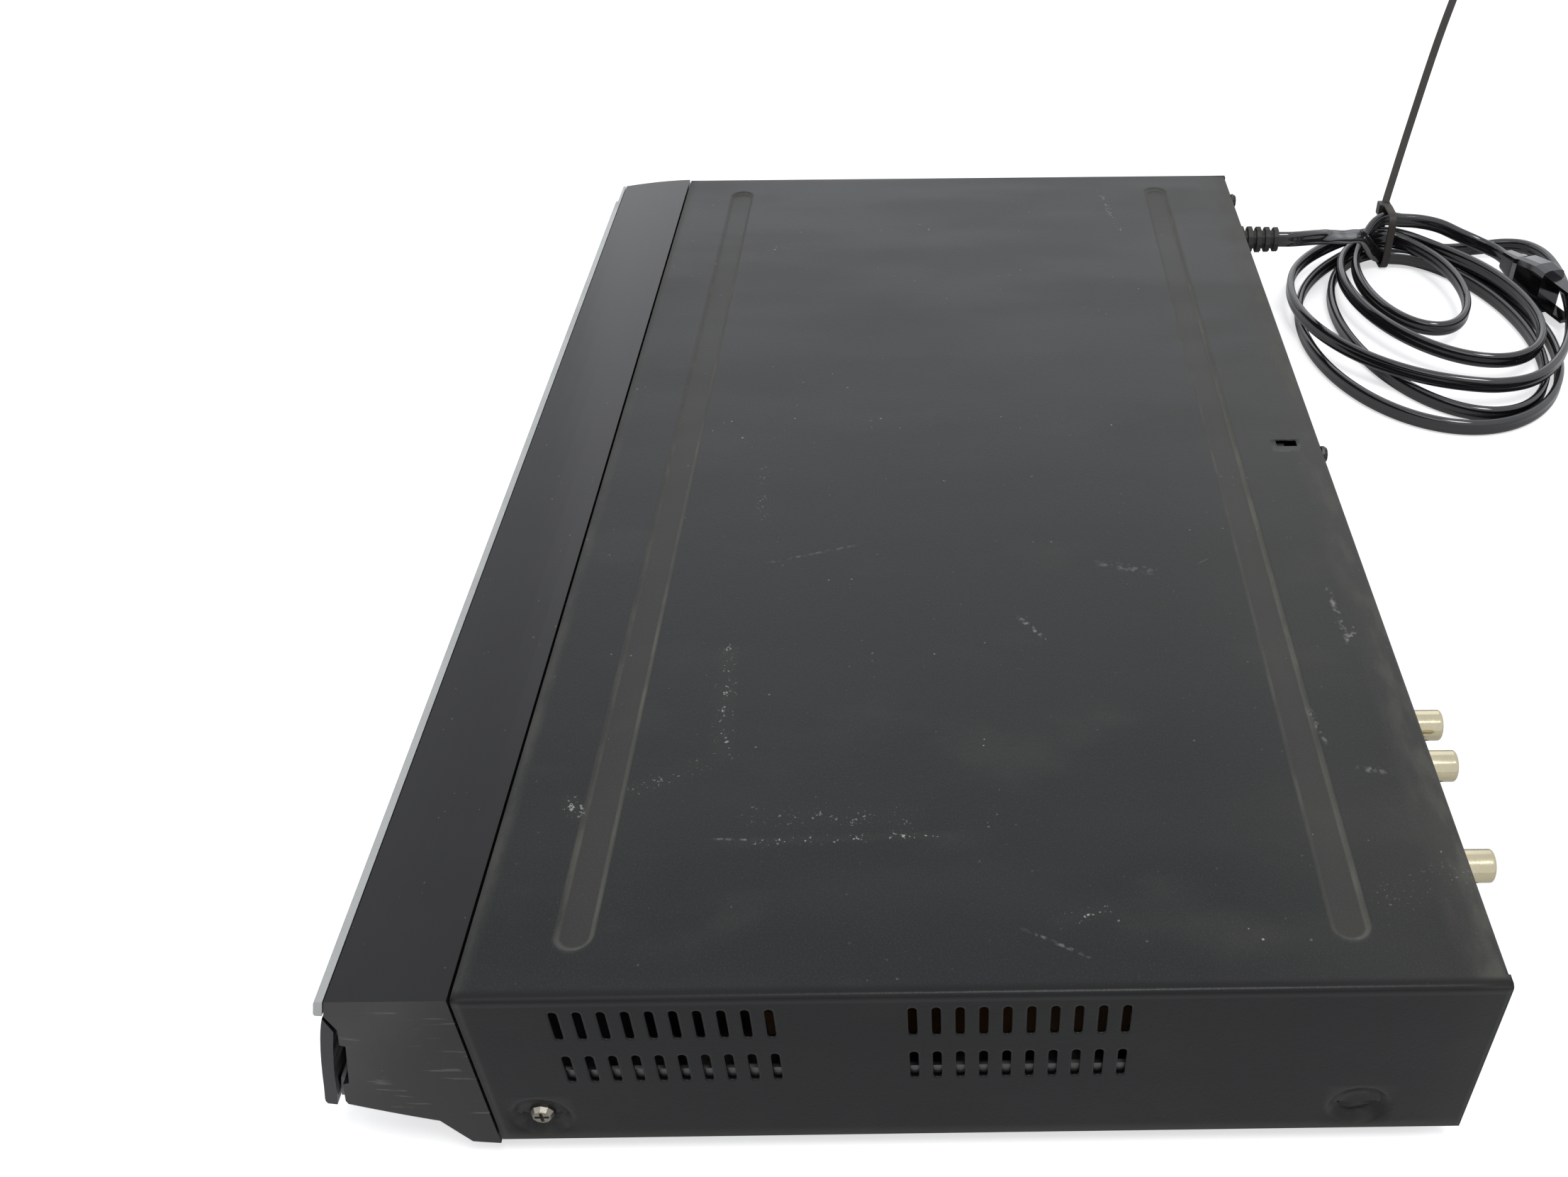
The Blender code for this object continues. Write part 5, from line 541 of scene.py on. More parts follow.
# %% Every carried-over piece gets its finish
drawn_steel = dict(metallic=1.0, drawn=(1, 30, 1), lint=0.15, scratch=0.25)
looks = {
    "top_cover": cover_paint(),
    "rear_panel": aged("panel paint", (0.020, 0.021, 0.020), 0.48, grain=(0.9, 0.03), dust=0.10),
    "bezel": bezel_plastic(),
    "slab": aged("front slab plastic", (0.009, 0.009, 0.010), 0.16, grain=(2.2, 0.003), dust=0.02,
                 uneven=0.12, gloss=0.4),
    "mould": aged("moulded black", (0.018, 0.018, 0.019), 0.45, grain=(0.5, 0.03), dust=0.10, lint=0.35),
    "trim": aged("silver trim", (0.46, 0.47, 0.46), 0.34, 0.35, (0.5, 0.012), 0.06, uneven=0.08),
    "button": aged("button grey", (0.20, 0.20, 0.21), 0.42, grain=(0.4, 0.02), dust=0.08, uneven=0.10),
    "window": aged("smoked window", (0.010, 0.010, 0.013), 0.08, grain=(3.0, 0.002), dust=0.02, lint=0.2,
                   scratch=0.25),
    # Painted shade: zinc steel made far darker than bare zinc grey, for the chassis seen through the vents.
    "shade_darkened_pan": aged("shade-darkened zinc steel", (0.13, 0.133, 0.133), 0.34, grain=(1.4, 0.012), dust=0.16, uneven=0.18,
                **drawn_steel),
    "screw": aged("worn screw", (0.28, 0.26, 0.22), 0.32, 1.0, (0.5, 0.02), 0.10, 0.2, 0.4),
    "black screw": aged("blackened screw", (0.045, 0.045, 0.045), 0.38, 1.0, (0.5, 0.02), 0.08, 0.2, 0.3),
    "machined": aged("turned steel", (0.52, 0.52, 0.51), 0.34, grain=(0.5, 0.008), dust=0.05, uneven=0.10,
                     **drawn_steel),
    "nickel": aged("tarnished nickel", (0.60, 0.54, 0.37), 0.13, 1.0, (0.9, 0.006), 0.04, 0.15, 0.3, 0.2),
    "rubber": aged("foot rubber", (0.020, 0.020, 0.020), 0.72, grain=(0.6, 0.05), dust=0.16, lint=0.5,
                   scratch=0.1),
    "board": aged("brown board", (0.42, 0.19, 0.06), 0.46, grain=(0.7, 0.012), dust=0.14, uneven=0.30),
    "white": aged("white gear plastic", (0.66, 0.66, 0.61), 0.40, grain=(0.6, 0.012), dust=0.08, uneven=0.06),
    "tape": aged("transformer tape", (0.55, 0.40, 0.07), 0.44, grain=(0.8, 0.02), dust=0.12, uneven=0.16),
    "glass": aged("display glass", (0.06, 0.08, 0.13), 0.07, grain=(2.5, 0.002), dust=0.02, lint=0.1,
                  scratch=0.1),
    "lead": aged("glossy cord skin", (0.007, 0.007, 0.008), 0.10, grain=(3.0, 0.006), dust=0.012, lint=0.3,
                 scratch=0.1, gloss=0.9),
    "tie": aged("brown tie nylon", (0.020, 0.016, 0.012), 0.50, grain=(0.6, 0.03), dust=0.05, lint=0.2,
                uneven=0.2),
}
worn_by = {
    "top_cover": ["top_cover"],
    "rear_panel": ["rear_panel"],
    "bezel": ["front_bezel"],
    "slab": ["front_fascia", "front_door", "tray_front"],
    "mould": ["front_jacks", "disc_tray", "drive_chassis", "turntable", "rear_jack_block", "fan_frame",
              "fan_rotor"],
    "trim": ["front_trim"],
    "button": ["door_hinge", "power_button", "eject_button", "play_button", "stop_button", "record_button",
               "channel_up_button", "channel_down_button", "traverse_frame", "pickup_sled"],
    "window": ["display_window"],
    "shade_darkened_pan": ["chassis_base", "clamp_bridge", "heat_sink", "aerial_block"],
    "screw": ["side_screw_left", "side_screw_right"],
    "black screw": ["rear_screw_left", "rear_screw_middle"],
    "machined": ["loading_motor", "spindle_motor", "guide_rod_left", "guide_rod_right", "lead_screw",
                 "hdmi_socket"],
    "nickel": ["phono_jack_1", "phono_jack_2", "phono_jack_3"],
    "rubber": ["foot_front_left", "foot_front_right", "foot_rear_left", "foot_rear_right", "loading_belt",
               "strain_relief"],
    "board": ["main_board", "power_board"],
    "white": ["disc_clamp", "drive_gear", "pulley_gear", "motor_pulley"],
    "tape": ["transformer"],
    "glass": ["display_unit"],
    "lead": ["plug"],
    "tie": ["cable_tie"],
}


def wear(piece, look):
    """Gives a piece one finish in place of whatever it came with."""
    piece.data.materials.clear()
    piece.data.materials.append(looks[look])


for look, names in worn_by.items():
    for name in names:
        wear(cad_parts[name], look)
print(len(looks), "finishes on", sum(len(names) for names in worn_by.values()), "pieces")

# %% [markdown]
# ## The mains cord
# A flat twin lead is two wires side by side under one skin, so its section is a long oval with a
# shallow furrow. It leaves the rear panel through a ribbed boot, runs down to a cable tie and lies
# behind the case in a loose, tied coil of five turns. The model laid the same route for its collision
# solids. Here the route is repeated, read as one smooth line, and the section is carried along it.

# %% The route's places
run_route = np.array(
    [
        (-192.0, 150.2, 42.4), (-192.0, 157.0, 42.4), (-198.0, 166.5, 40.2), (-209.0, 177.5, 35.5),
        (-221.5, 187.5, 29.5), (-230.0, 194.0, 26.0), (-236.3, 199.0, 22.6), (-242.2, 204.0, 17.0),
        (-249.2, 210.0, 9.2),
    ]
) * MM
plug_route = np.array(
    [
        (-258.8, 222.5, 20.4), (-258.0, 231.5, 20.0), (-256.5, 241.0, 18.4), (-254.0, 250.5, 15.0),
        (-250.5, 259.5, 12.2), (-244.0, 266.0, 11.2), (-236.5, 268.4, 11.2),
    ]
) * MM
tie_place = np.array((-257, 216.4)) * MM
# Each turn of the coil: half its length, half its width, how far its far end swings, and its lean.
coil_turns = np.array(
    [(72, 40, 14, 0), (77, 53, 4, 0), (67, 62, 18, 48), (57, 37, 22, 0), (43, 22, 4, 0)]
) * MM
# Under the tie, the passes lie side by side in these columns and on these layers. The cord climbs to
# the next layer within these stretches of turns.
pass_columns = np.array((4.8, 0, -4.6, -4.6, 0, -2)) * MM
coil_layers = np.array((3.6, 11, 19.4)) * MM
coil_climbs = ((2.07, 2.27), (4.835, 4.99))
TIE_RISE, TIE_REACH, TURN_STEPS, PATH_POINTS = 1.8 * MM, 0.12, 24, 900
print(len(run_route), "places to the tie,", len(coil_turns), "turns,", len(plug_route), "places to the plug")

# %% [markdown]
# ## From places to one smooth line
# A coil drawn point by point looks nervous. Each turn is instead one oval, from a formula with four
# numbers, and all places are joined by cubics that pass through them with no corner. The line is
# then cut into even steps, so that the cord's section is carried at an even pace.

# %% The route of the cord
def step_up(value, low, high):
    """0 below low, 1 above high, and 3s²-2s³ of the share s between them."""
    share = np.clip((value - low) / (high - low), 0, 1)
    return share * share * (3 - 2 * share)


def smooth_line(points, count, finer=24):
    """A line bent smoothly through points: each stretch is the cubic whose slope at a point is half
    the step between that point's neighbours, read again at even steps of length."""
    ends = np.vstack([2 * points[0] - points[1], points, 2 * points[-1] - points[-2]])
    a, b, c, d = (ends[i : len(ends) - 3 + i, None] for i in range(4))
    s = np.linspace(0, 1, finer, endpoint=False)[None, :, None]
    bent = (b + (c - a) * s / 2 + (a - 2.5 * b + 2 * c - d / 2) * s**2 + (1.5 * (b - c) + (d - a) / 2) * s**3)
    bent = np.vstack([bent.reshape(-1, 3), points[-1:]])
    so_far = np.concatenate([[0], np.cumsum(np.linalg.norm(np.diff(bent, axis=0), axis=1))])
    return np.stack([np.interp(np.linspace(0, so_far[-1], count), so_far, bent[:, i]) for i in range(3)], 1)


def coil_line(steps):
    """Every turn is an oval that leaves the tie and comes back: its long way is 1 + cos of the
    angle, its width sin of the angle, and its height rises from layer to layer in short climbs."""
    turn = np.linspace(0, len(coil_turns), len(coil_turns) * steps + 1)
    row = np.minimum(turn.astype(int), len(coil_turns) - 1)
    length, width, swing, lean = coil_turns[row].T
    around = math.pi - 2 * math.pi * (turn - row)
    nearest = np.round(turn).astype(int)
    near_tie = 1 - step_up(np.abs(turn - nearest), 0, TIE_REACH)
    x = tie_place[0] + length * (1 + np.cos(around)) - lean * np.maximum(0, np.sin(around)) ** 2
    y = tie_place[1] + swing * (1 + np.cos(around)) / 2 + width * np.sin(around)
    low, middle, high = coil_layers
    first, second = (step_up(turn, *climb) for climb in coil_climbs)
    z = low + (middle - low) * first + (high - middle) * second
    return np.stack([x + pass_columns[nearest] * near_tie, y, z + TIE_RISE * near_tie], axis=1)


route = np.vstack([run_route, coil_line(TURN_STEPS), plug_route])
cord_path = smooth_line(route, PATH_POINTS)

# %% [markdown]
# ## The section, carried along
# A section keeps its shape on its way if every place has its own three directions: ahead, across and
# up. A flat lead that is wound up stands on its narrow edge. So does this one, apart from a stretch
# near the boot, where it twists by about half a right angle and back on its way down.

# %% The cord's section carried along its route
CORD_WIDTH, CORD_THICKNESS = 6.5 * MM, 3.3 * MM
FURROW_DEPTH, FURROW_WIDTH, ROUND_SHARE = 0.13, 0.16, 0.5
TWIST, TWIST_RISE, TWIST_FALL = math.radians(50), (0.012, 0.02), (0.03, 0.05)


def directions(path, twist):
    """At each place of a path, the way across and the way up: up is as near to the vertical as the
    path allows, and both are then turned about the path by the twist."""
    ahead = np.gradient(path, axis=0)
    ahead /= np.linalg.norm(ahead, axis=1)[:, None]
    up = np.array((0, 0, 1)) - ahead * ahead[:, 2:]
    up /= np.linalg.norm(up, axis=1)[:, None]
    side = np.cross(ahead, up)
    turn = np.broadcast_to(twist, len(path))[:, None]
    return side * np.cos(turn) + up * np.sin(turn), up * np.cos(turn) - side * np.sin(turn)


def twin_lead(count):
    """The lead's section: half its thickness is a quarter of an ellipse near each edge, level in
    between, less a bell-shaped furrow along the middle."""
    angle = np.linspace(0, 2 * math.pi, count, endpoint=False)
    broad = np.sin(angle)
    edge = np.clip((np.abs(broad) - ROUND_SHARE) / (1 - ROUND_SHARE), 0, 1)
    half = CORD_THICKNESS / 2 * (np.sqrt(1 - edge**2) - FURROW_DEPTH * np.exp(-((broad / FURROW_WIDTH) ** 2)))
    return np.stack([np.sign(np.cos(angle)) * half, broad * CORD_WIDTH / 2], axis=1)


def carry(path, section, twist=0.0):
    """Sets a closed section at every place of a path and closes both ends with a point."""
    across, upright = directions(path, twist)
    tube = path[:, None] + (across[:, None] * section[None, :, :1] + upright[:, None] * section[None, :, 1:])
    number = np.arange(len(path) * len(section)).reshape(len(path), len(section))
    faces = [grid_faces(*number.shape, loop_columns=True)]
    for ring, way, middle in ((number[0], -1, number.size), (number[-1], 1, number.size + 1)):
        faces.append(np.stack([0 * ring + middle, np.roll(ring, way), ring, ring], axis=1))
    return np.vstack([tube.reshape(-1, 3), path[:1], path[-1:]]), np.vstack(faces)


way_along = np.linspace(0, 1, len(cord_path))
twist = TWIST * step_up(way_along, *TWIST_RISE) * (1 - step_up(way_along, *TWIST_FALL))
mains_cord = make_mesh("mains_cord", *carry(cord_path, twin_lead(28), twist), "case", sharp=60)
wear(mains_cord, "lead")
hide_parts("cord_run", "cord_coil")

# %% [markdown]
# ## The cable tie
# A nylon tie is one strap: a band round the bundle, a small square head that holds it, and a long
# tail left standing. The band's outline is a squared-off oval, in which the powers of five of the
# two shares add up to 1, so that it keeps clear of the bundle's corners. Head and tail are a small
# rectangle carried along a line, and a Bevel modifier rounds all edges of the strap.

# %% A band, a head and a tail
STRAP_WIDTH, STRAP_THICKNESS, STRAP_ROUND, HEAD = 3.4 * MM, 1.1 * MM, 0.25 * MM, 5.6 * MM
band_middle, band_half = np.array((-257, 13.5)) * MM, np.array((7.9, 12.4)) * MM
head_line = np.array([(-269.9, 216.4, 22.4), (-264.9, 216.4, 22.4)]) * MM
tail_route = np.array(
    [
        (-264.5, 216, 17.5), (-268.5, 217, 23), (-275, 220.5, 34),
        (-287, 227.5, 56), (-302, 237.5, 89), (-318, 249, 118),
    ]
) * MM


def rectangle(wide, high):
    return np.array([(1, 1), (-1, 1), (-1, -1), (1, -1)]) * (wide / 2, high / 2)


def strap_band(count):
    """The oval is cos and sin to the power 2/5, each with its own sign. A strap's four corners stand
    on it at every place: inside or outside by the thickness, and front or rear by the width."""
    angle = np.linspace(0, 2 * math.pi, count, endpoint=False)
    oval = np.stack([np.cos(angle), np.sin(angle)], axis=1)
    oval = band_middle + np.sign(oval) * np.abs(oval) ** 0.4 * band_half
    slope = np.roll(oval, -1, axis=0) - np.roll(oval, 1, axis=0)
    away = np.stack([slope[:, 1], -slope[:, 0]], axis=1) / np.linalg.norm(slope, axis=1)[:, None]
    around = oval[:, None] + away[:, None] * np.array((0, 1, 1, 0))[:, None] * STRAP_THICKNESS
    along_y = tie_place[1] + np.array((-1, -1, 1, 1)) * STRAP_WIDTH / 2 + 0 * around[:, :, 0]
    points = np.stack([around[:, :, 0], along_y, around[:, :, 1]], axis=-1).reshape(-1, 3)
    return points, grid_faces(count, 4, loop_rows=True, loop_columns=True)


strap = joined([
    strap_band(72),
    carry(head_line, rectangle(HEAD, HEAD)),
    carry(smooth_line(tail_route, 40), rectangle(STRAP_WIDTH, STRAP_THICKNESS)),
])
slim_tie = make_mesh("slim_tie", *strap, "case")
edges = slim_tie.modifiers.new("edges", "BEVEL")
edges.width, edges.segments = STRAP_ROUND, 2
edges.limit_method, edges.angle_limit = "ANGLE", math.radians(40)
wear(slim_tie, "tie")
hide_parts("cable_tie")

# %% [markdown]

# %% [markdown]
# ## The folded cover as one sheet
# The model's cover has the folds, grooves, dimples and vents, but with few facets. The real one is
# sheet steel, and each press tool leaves a soft edge that dust and light pick out. Here the sheet is
# laid out as graph paper: one way runs from the left base over the top to the right base, the other
# from front to rear. Lines stand close where a tool struck and wide apart elsewhere. Holes and
# dimples are blocks of squares taken out and filled again with rings, whose points lie on the way
# from the block's edge to the round shape inside.

# %% The lines of the graph paper
SHEET, FOLD, FOLD_POINTS = 0.8 * MM, 1.2 * MM, 4
VENT_HALF, VENT_LIP, VENT_RUN, VENT_PITCH, VENT_COUNT = 1.0 * MM, 1.5 * MM, 4.1 * MM, 5.2 * MM, 10
VENT_ROWS = (top_z - 9.7 * MM, top_z - 25.9 * MM)
VENT_STARTS = (front_y + 18.3 * MM, front_y + 96.2 * MM)
VENT_REACH, DIMPLE_REACH = 7.6 * MM, 8.9 * MM
DIMPLE_FLOOR, DIMPLE_DEPTH, HOLE_RADIUS = 4.2 * MM, 2.2 * MM, 1.8 * MM
SLOT_LEFT, SLOT_RIGHT, SLOT_FRONT, SLOT_REAR = -3.5 * MM, 0.3 * MM, rear_y - 14.3 * MM, rear_y - 7.7 * MM
FLANGE_END, FLANGE_HEIGHT = half_width - 3.3 * MM, 6.6 * MM


def lines(*stretches):
    """Line places from stretches of (start, end, step), each place once, in order."""
    runs = [np.linspace(low, high, max(2, round((high - low) / step) + 1)) for low, high, step in stretches]
    places = np.unique(np.concatenate(runs))
    return places[np.concatenate([[True], np.diff(places) > 0.02 * MM])]


bend, bulge, inner = half_width - FOLD, GROOVE_END + 3 * MM, GROOVE_END - 7 * MM
y_lines = lines(
    (front_y, rear_y - FOLD, 5 * MM),
    (rear_y - FOLD, rear_y, FOLD),
    *[(start, start + VENT_COUNT * VENT_PITCH, VENT_PITCH / 6) for start in VENT_STARTS],
    *[(middle - DIMPLE_REACH, middle + DIMPLE_REACH, 1.8 * MM) for middle in DIMPLES],
    *[(middle - GROOVE_HALF, middle + GROOVE_HALF, GROOVE_HALF / 7) for middle in GROOVES],
    (SLOT_FRONT, SLOT_REAR, 3.3 * MM),
)
x_lines = lines(
    (-bend, -FLANGE_END, 2 * MM), (-FLANGE_END, -bulge, 3 * MM), (-bulge, -inner, 0.7 * MM),
    (-inner, inner, 8 * MM), (SLOT_LEFT, SLOT_RIGHT, 1.9 * MM),
    (inner, bulge, 0.7 * MM), (bulge, FLANGE_END, 3 * MM), (FLANGE_END, bend, 2 * MM),
)
z_lines = lines(
    (base_z, top_z - FOLD, 4 * MM),
    (DIMPLE_Z - DIMPLE_REACH, DIMPLE_Z + DIMPLE_REACH, 2 * MM),
    *[(z - VENT_REACH, z + VENT_REACH, 2.2 * MM) for z in VENT_ROWS],
)
print(len(x_lines), "lines across the top,", len(z_lines), "up each side and", len(y_lines), "front to rear")

# %% [markdown]
# ## The sheet before its holes
# The section is drawn once, wall, fold, top, fold, wall, and repeated on every line from front to
# rear. Pressing the grooves then only lowers places: how deep follows from how far a place is from
# the groove's middle line, so one formula makes floor, soft walls and round ends.

# %% The section of the sheet, and how deep the top is pressed
def section():
    """Up the left wall, a quarter circle, over the top, a quarter circle and down the right wall, as
    places (x, z)."""
    angle = np.linspace(0, math.pi / 2, FOLD_POINTS + 2)[1:-1]
    wall = np.stack([0 * z_lines + half_width, z_lines], axis=1)
    fold = np.stack([bend + FOLD * np.cos(angle), top_z - FOLD + FOLD * np.sin(angle)], axis=1)
    roof = np.stack([x_lines, 0 * x_lines + top_z], axis=1)
    half = np.vstack([wall, fold])
    return np.vstack([half * (-1, 1), roof, half[::-1]])


def groove_press(x, y):
    """The full depth on a groove's floor, none outside it, and a soft wall between. The distance is
    taken to the groove's middle line, so that its ends come out round."""
    depth = 0 * (x + y)
    for middle in GROOVES:
        past_end = np.maximum(np.abs(x) - (GROOVE_END - GROOVE_HALF), 0)
        away = np.hypot(past_end, y - middle)
        depth = np.maximum(depth, GROOVE_DEPTH * (1 - step_up(away, GROOVE_FLOOR, GROOVE_HALF)))
    return depth


profile = section()
x, z = profile[:, :1], profile[:, 1:]
pressed = groove_press(x, y_lines[None])
sheet_grid = np.stack(np.broadcast_arrays(x, y_lines[None], z - pressed), axis=-1)
rows, columns = len(profile), len(y_lines)
kept = np.ones((rows - 1, columns - 1), bool)
print("sheet of", rows, "by", columns, "points, pressed", round(pressed.max() / MM, 2), "mm deep")

# %% [markdown]
# ## Vents and dimples
# A vent is a slot with half-round ends, and a dimple is a shallow bowl, with a screw hole at the
# front and closed at the rear. Both are rings round an upright middle line: a vent's line is as long
# as its straight part, and a dimple's has no length. So one function makes both.

# %% Blocks taken out and filled with rings
def at(places, value):
    """The number of the line nearest to a value."""
    return int(np.argmin(np.abs(places - value)))


def take_out(r0, r1, c0, c1):
    """Takes a block of squares out of the sheet and gives its rim's points in order."""
    kept[r0:r1, c0:c1] = False
    there = [(r0, c) for c in range(c0, c1)] + [(r, c1) for r in range(r0, r1)]
    back = [(r1, c) for c in range(c1, c0, -1)] + [(r, c0) for r in range(r1, r0, -1)]
    return sheet_grid[tuple(np.transpose(there + back))]


def rings(rim, centre, inward, run, radii, depths):
    """The rim, and rings from it to a round shape. Each rim point looks at the nearest point of an
    upright middle line reaching this run both ways, and its place in a ring is that point plus the
    ring's radius towards itself, sunk by the ring's depth."""
    core = centre + (0, 0, 1) * np.clip(rim[:, 2:] - centre[2], -run, run)
    way = rim - core
    way /= np.linalg.norm(way, axis=1)[:, None]
    return np.array([rim, *(core + way * radius + inward * depth for radius, depth in zip(radii, depths))])


share = np.linspace(0, 1, 7)
dimple_radii = np.append(DIMPLE_RADIUS - (DIMPLE_RADIUS - DIMPLE_FLOOR) * share, HOLE_RADIUS)
dimple_depths = np.append(DIMPLE_DEPTH * step_up(share, 0, 1), DIMPLE_DEPTH)
vents = [(z, start + VENT_PITCH * i, VENT_PITCH, VENT_REACH, VENT_RUN, (VENT_LIP, VENT_HALF), (0, 0))
         for z in VENT_ROWS for start in VENT_STARTS for i in range(VENT_COUNT)]
dimples = [(DIMPLE_Z, middle - DIMPLE_REACH, 2 * DIMPLE_REACH, DIMPLE_REACH, 0, dimple_radii, dimple_depths)
           for middle in DIMPLES]
parts = []
for side in (-1, 1):
    for height, start, width, reach, run, radii, depths in vents + dimples:
        low, high = at(z_lines, height - reach), at(z_lines, height + reach)
        if side > 0:
            low, high = rows - 1 - high, rows - 1 - low
        rim = take_out(low, high, at(y_lines, start), at(y_lines, start + width))
        centre = np.array((side * half_width, start + width / 2, height))
        made = rings(rim, centre, np.array((-side, 0, 0)), run, radii, depths)
        parts.append((made.reshape(-1, 3), grid_faces(*made.shape[:2], loop_columns=True)))
        if centre[1] == DIMPLES[1]:
            number = np.arange(len(rim))
            fan = np.stack([number, np.roll(number, -1), 0 * number + len(rim)], axis=1)
            parts.append((np.vstack([made[-1], centre - (side * DIMPLE_DEPTH, 0, 0)]), fan[:, [0, 1, 2, 2]]))
first_roof = len(z_lines) + FOLD_POINTS
slot_left, slot_right, flange_left, flange_right = (
    first_roof + at(x_lines, place) for place in (SLOT_LEFT, SLOT_RIGHT, -FLANGE_END, FLANGE_END)
)
take_out(slot_left, slot_right, at(y_lines, SLOT_FRONT), at(y_lines, SLOT_REAR))
print(int((~kept).sum()), "squares taken out,", sum(len(faces) for _, faces in parts), "faces in rings")

# %% [markdown]
# ## The flange, the hook and the whole sheet
# At the rear the top turns down into a low flange that takes the screws, and a small hook is lanced
# out of the top just before it. All parts are welded where they meet, every face is turned to look
# out, and a Solidify modifier gives the sheet its thickness inwards.

# %% The rear flange, the hook under its slot, and the whole sheet
HOOK_DROP, FLANGE_MIDDLE = 0.1 * MM, 4 * MM
flange_x = x_lines[at(x_lines, -FLANGE_END) : at(x_lines, FLANGE_END) + 1, None]
angle = np.linspace(0, math.pi / 2, FOLD_POINTS + 2)
flange_y = np.append(rear_y - FOLD + FOLD * np.sin(angle), (rear_y, rear_y))
flange_z = np.append(top_z - FOLD + FOLD * np.cos(angle), (top_z - FLANGE_MIDDLE, top_z - FLANGE_HEIGHT))
flange = np.stack(np.broadcast_arrays(flange_x, flange_y, flange_z), axis=-1)
kept[flange_left:flange_right, columns - 2] = False
hook_x, hook_y = np.array((-2.8, -0.4)) * MM, SLOT_FRONT + np.array((-0.7, 1.2, 2.8)) * MM
hook = np.stack(np.broadcast_arrays(hook_x[:, None], hook_y[None], top_z - SHEET - HOOK_DROP), axis=-1)
parts += [(grid.reshape(-1, 3), grid_faces(*grid.shape[:2])) for grid in (flange, hook)]
parts.append((sheet_grid.reshape(-1, 3), grid_faces(rows, columns).reshape(rows - 1, columns - 1, 4)[kept]))
points, faces = welded(*joined(parts))
edge_1, edge_2 = points[faces[:, 2]] - points[faces[:, 0]], points[faces[:, 3]] - points[faces[:, 1]]
middle = points[faces].mean(axis=1)
outward = np.where(np.abs(middle[:, :1]) > bend, middle * (1, 0, 0), (0, 0, 1))
at_rear = (middle[:, 1:2] > rear_y - FOLD) & (np.abs(middle[:, :1]) < FLANGE_END)
outward = np.where(at_rear, (0, 1, 0.5), outward)
inside_out = (np.cross(edge_1, edge_2) * outward).sum(axis=1) < 0
faces[inside_out] = faces[inside_out][:, ::-1]
cover = make_mesh("folded_cover", points, faces, "case", sharp=50)
thick = cover.modifiers.new("sheet", "SOLIDIFY")
thick.thickness, thick.offset = SHEET, -1
wear(cover, "top_cover")
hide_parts("top_cover")

# %% [markdown]
# ## The phono sockets
# Each socket is a turned sleeve with a rolled rim, a bore and an insulator. Turning is the simplest
# two-way sheet: one way runs along the half section, the other goes once round the axis. The metal is
# thin old nickel gone yellow, which mirrors the white room and the dark panel as upright bands.

# %% Three turned sockets
SLEEVE, RIM_ROUND, RIM_MIDDLE = 10, 0.7, 3.45


def turned(profile, centre, steps):
    """Carries a half section, of distances from the axis and places along y, once round the axis."""
    angle = np.linspace(0, 2 * math.pi, steps, endpoint=False)[:, None]
    reach, place = np.array(profile).T
    ring_x, ring_z = reach * np.cos(angle), reach * np.sin(angle)
    points = centre + np.stack([ring_x, place + 0 * angle, ring_z], axis=-1)
    return welded(points, grid_faces(steps, len(profile), loop_rows=True))


quarter = np.linspace(0, math.pi / 2, 6)[:, None]
outside = [(0, 0), (4.15, 0), (4.15, 0.3), (4.15, 9.0)]
rim = np.hstack([RIM_MIDDLE + RIM_ROUND * np.cos(quarter), SLEEVE - RIM_ROUND + RIM_ROUND * np.sin(quarter)])
inside = [
    (3.4, 9.8), (3.3, 9.5), (3.3, 2.5), (2.6, 2.5), (2.6, 8.7),
    (2.4, 9.0), (1.7, 9.0), (1.6, 8.8), (1.6, 3.0), (0, 3.0),
]
half_section = np.vstack([outside, rim, inside]) * MM
for number in (1, 2, 3):
    low, high = (np.array(corner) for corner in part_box(f"phono_jack_{number}"))
    middle = np.array(((low[0] + high[0]) / 2, high[1] - SLEEVE * MM, (low[2] + high[2]) / 2))
    socket = make_mesh(f"phono_sleeve_{number}", *turned(half_section, middle, 48), "case", sharp=50)
    wear(socket, "nickel")
    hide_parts(f"phono_jack_{number}")

# %% [markdown]
# ## The floor and the room
# The photograph was lit by a pale room and cut out on white. The floor glows a little, so that it
# comes out white, but only for the camera and through glass: the case's dark side then mirrors a
# greyer floor, as in the photograph. The room is likewise brighter in a mirror than as a light.

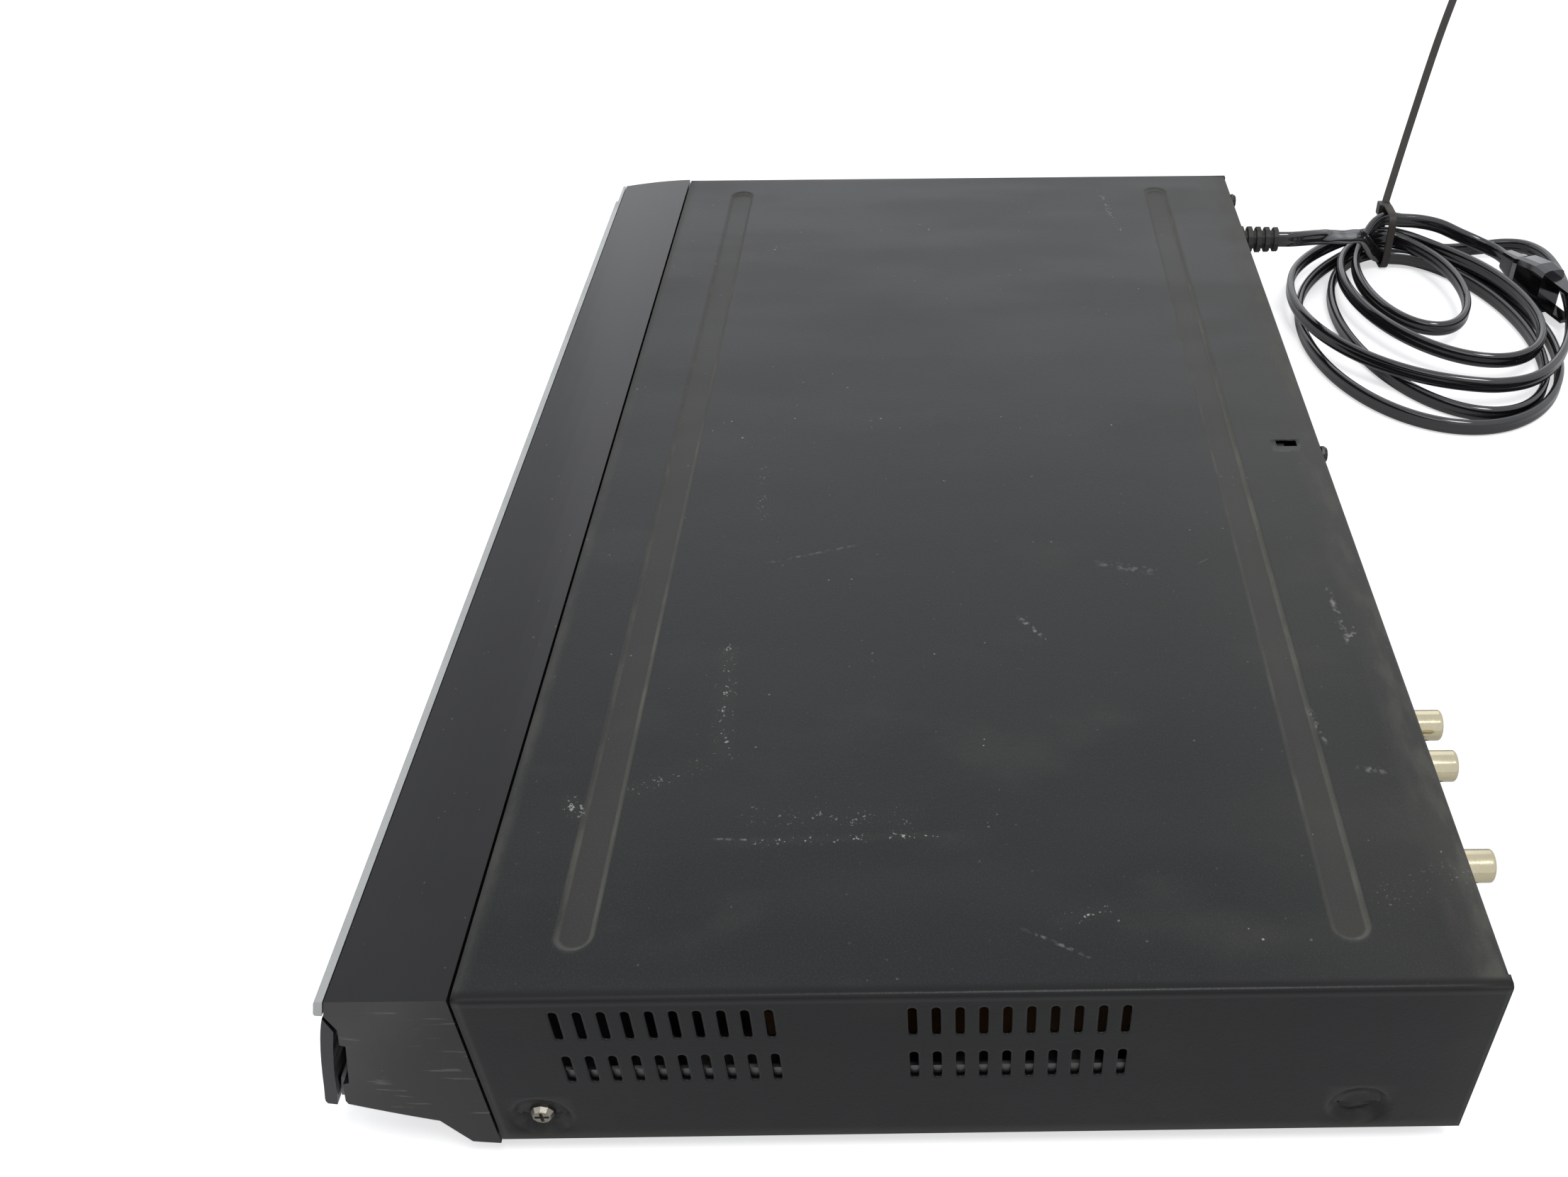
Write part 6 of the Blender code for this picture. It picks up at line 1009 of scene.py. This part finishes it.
# %% Floor and world
scene = bpy.context.scene
scene.view_settings.view_transform = "Standard"
HALF_FLOOR, FLOOR_GLOW, ROOM_AS_LIGHT, ROOM_AS_SEEN = 3.0, 0.56, 0.5, 1.0
floor_mesh = bpy.data.meshes.new("floor")
corners = [(x * HALF_FLOOR, y * HALF_FLOOR, 0) for x, y in ((-1, -1), (1, -1), (1, 1), (-1, 1))]
floor_mesh.from_pydata(corners, [], [(0, 1, 2, 3)])
floor = add("floor", floor_mesh)
paper = Finish("white paper", Base_Color=(0.80, 0.80, 0.80, 1), Roughness=0.9, Specular_IOR_Level=0.0,
               Emission_Strength=1.0)
seen = (paper.node("ShaderNodeLightPath", output=ray) for ray in ("Is Camera Ray", "Is Transmission Ray"))
paper.give(Emission_Color=paper.mix(sum(seen, 0.0) * FLOOR_GLOW, (0, 0, 0), (1, 1, 1)))
floor_mesh.materials.append(paper.material)
world = bpy.data.worlds.new("room")
scene.world = world
world.use_nodes = True
tree = world.node_tree
room = tree.nodes["Background"]
room.inputs["Color"].default_value = (0.93, 0.95, 1.0, 1)
path, total, strength = (tree.nodes.new(f"ShaderNode{kind}") for kind in ("LightPath", "Math", "MapRange"))
total.operation = "ADD"
strength.inputs["To Min"].default_value, strength.inputs["To Max"].default_value = ROOM_AS_LIGHT, ROOM_AS_SEEN
tree.links.new(path.outputs["Is Camera Ray"], total.inputs[0])
tree.links.new(path.outputs["Is Glossy Ray"], total.inputs[1])
tree.links.new(total.outputs[0], strength.inputs["Value"])
tree.links.new(strength.outputs[0], room.inputs["Strength"])
print("floor", 2 * HALF_FLOOR, "m wide, in a room of strength", ROOM_AS_LIGHT)

# %% [markdown]
# ## Three soft lamps
# One lamp over the case draws its shape, a large one past its left end makes that half of the top
# paler, as a window does, and a weak one fills the front. All are wide, so no shadow has a hard edge.

# %% Lamps
def lamp(name, place, size, watts):
    """A square soft lamp that looks from its place at the scene's middle."""
    light = bpy.data.lights.new(name, "AREA")
    light.size, light.energy = size, watts
    back = np.array(place) / np.linalg.norm(place)
    side = np.cross((0.0, 0.0, 1.0), back)
    side /= np.linalg.norm(side)
    stand(add(name, light), side, np.cross(back, side), back, place)
    print(name, watts, "W,", size, "m wide")


lamp("over", (0.7, 0.3, 1.7), 0.55, 12)
lamp("window", (-2.4, 0.1, 1.3), 2.2, 8)
lamp("front", (1.2, -0.9, 1.2), 1.2, 4)
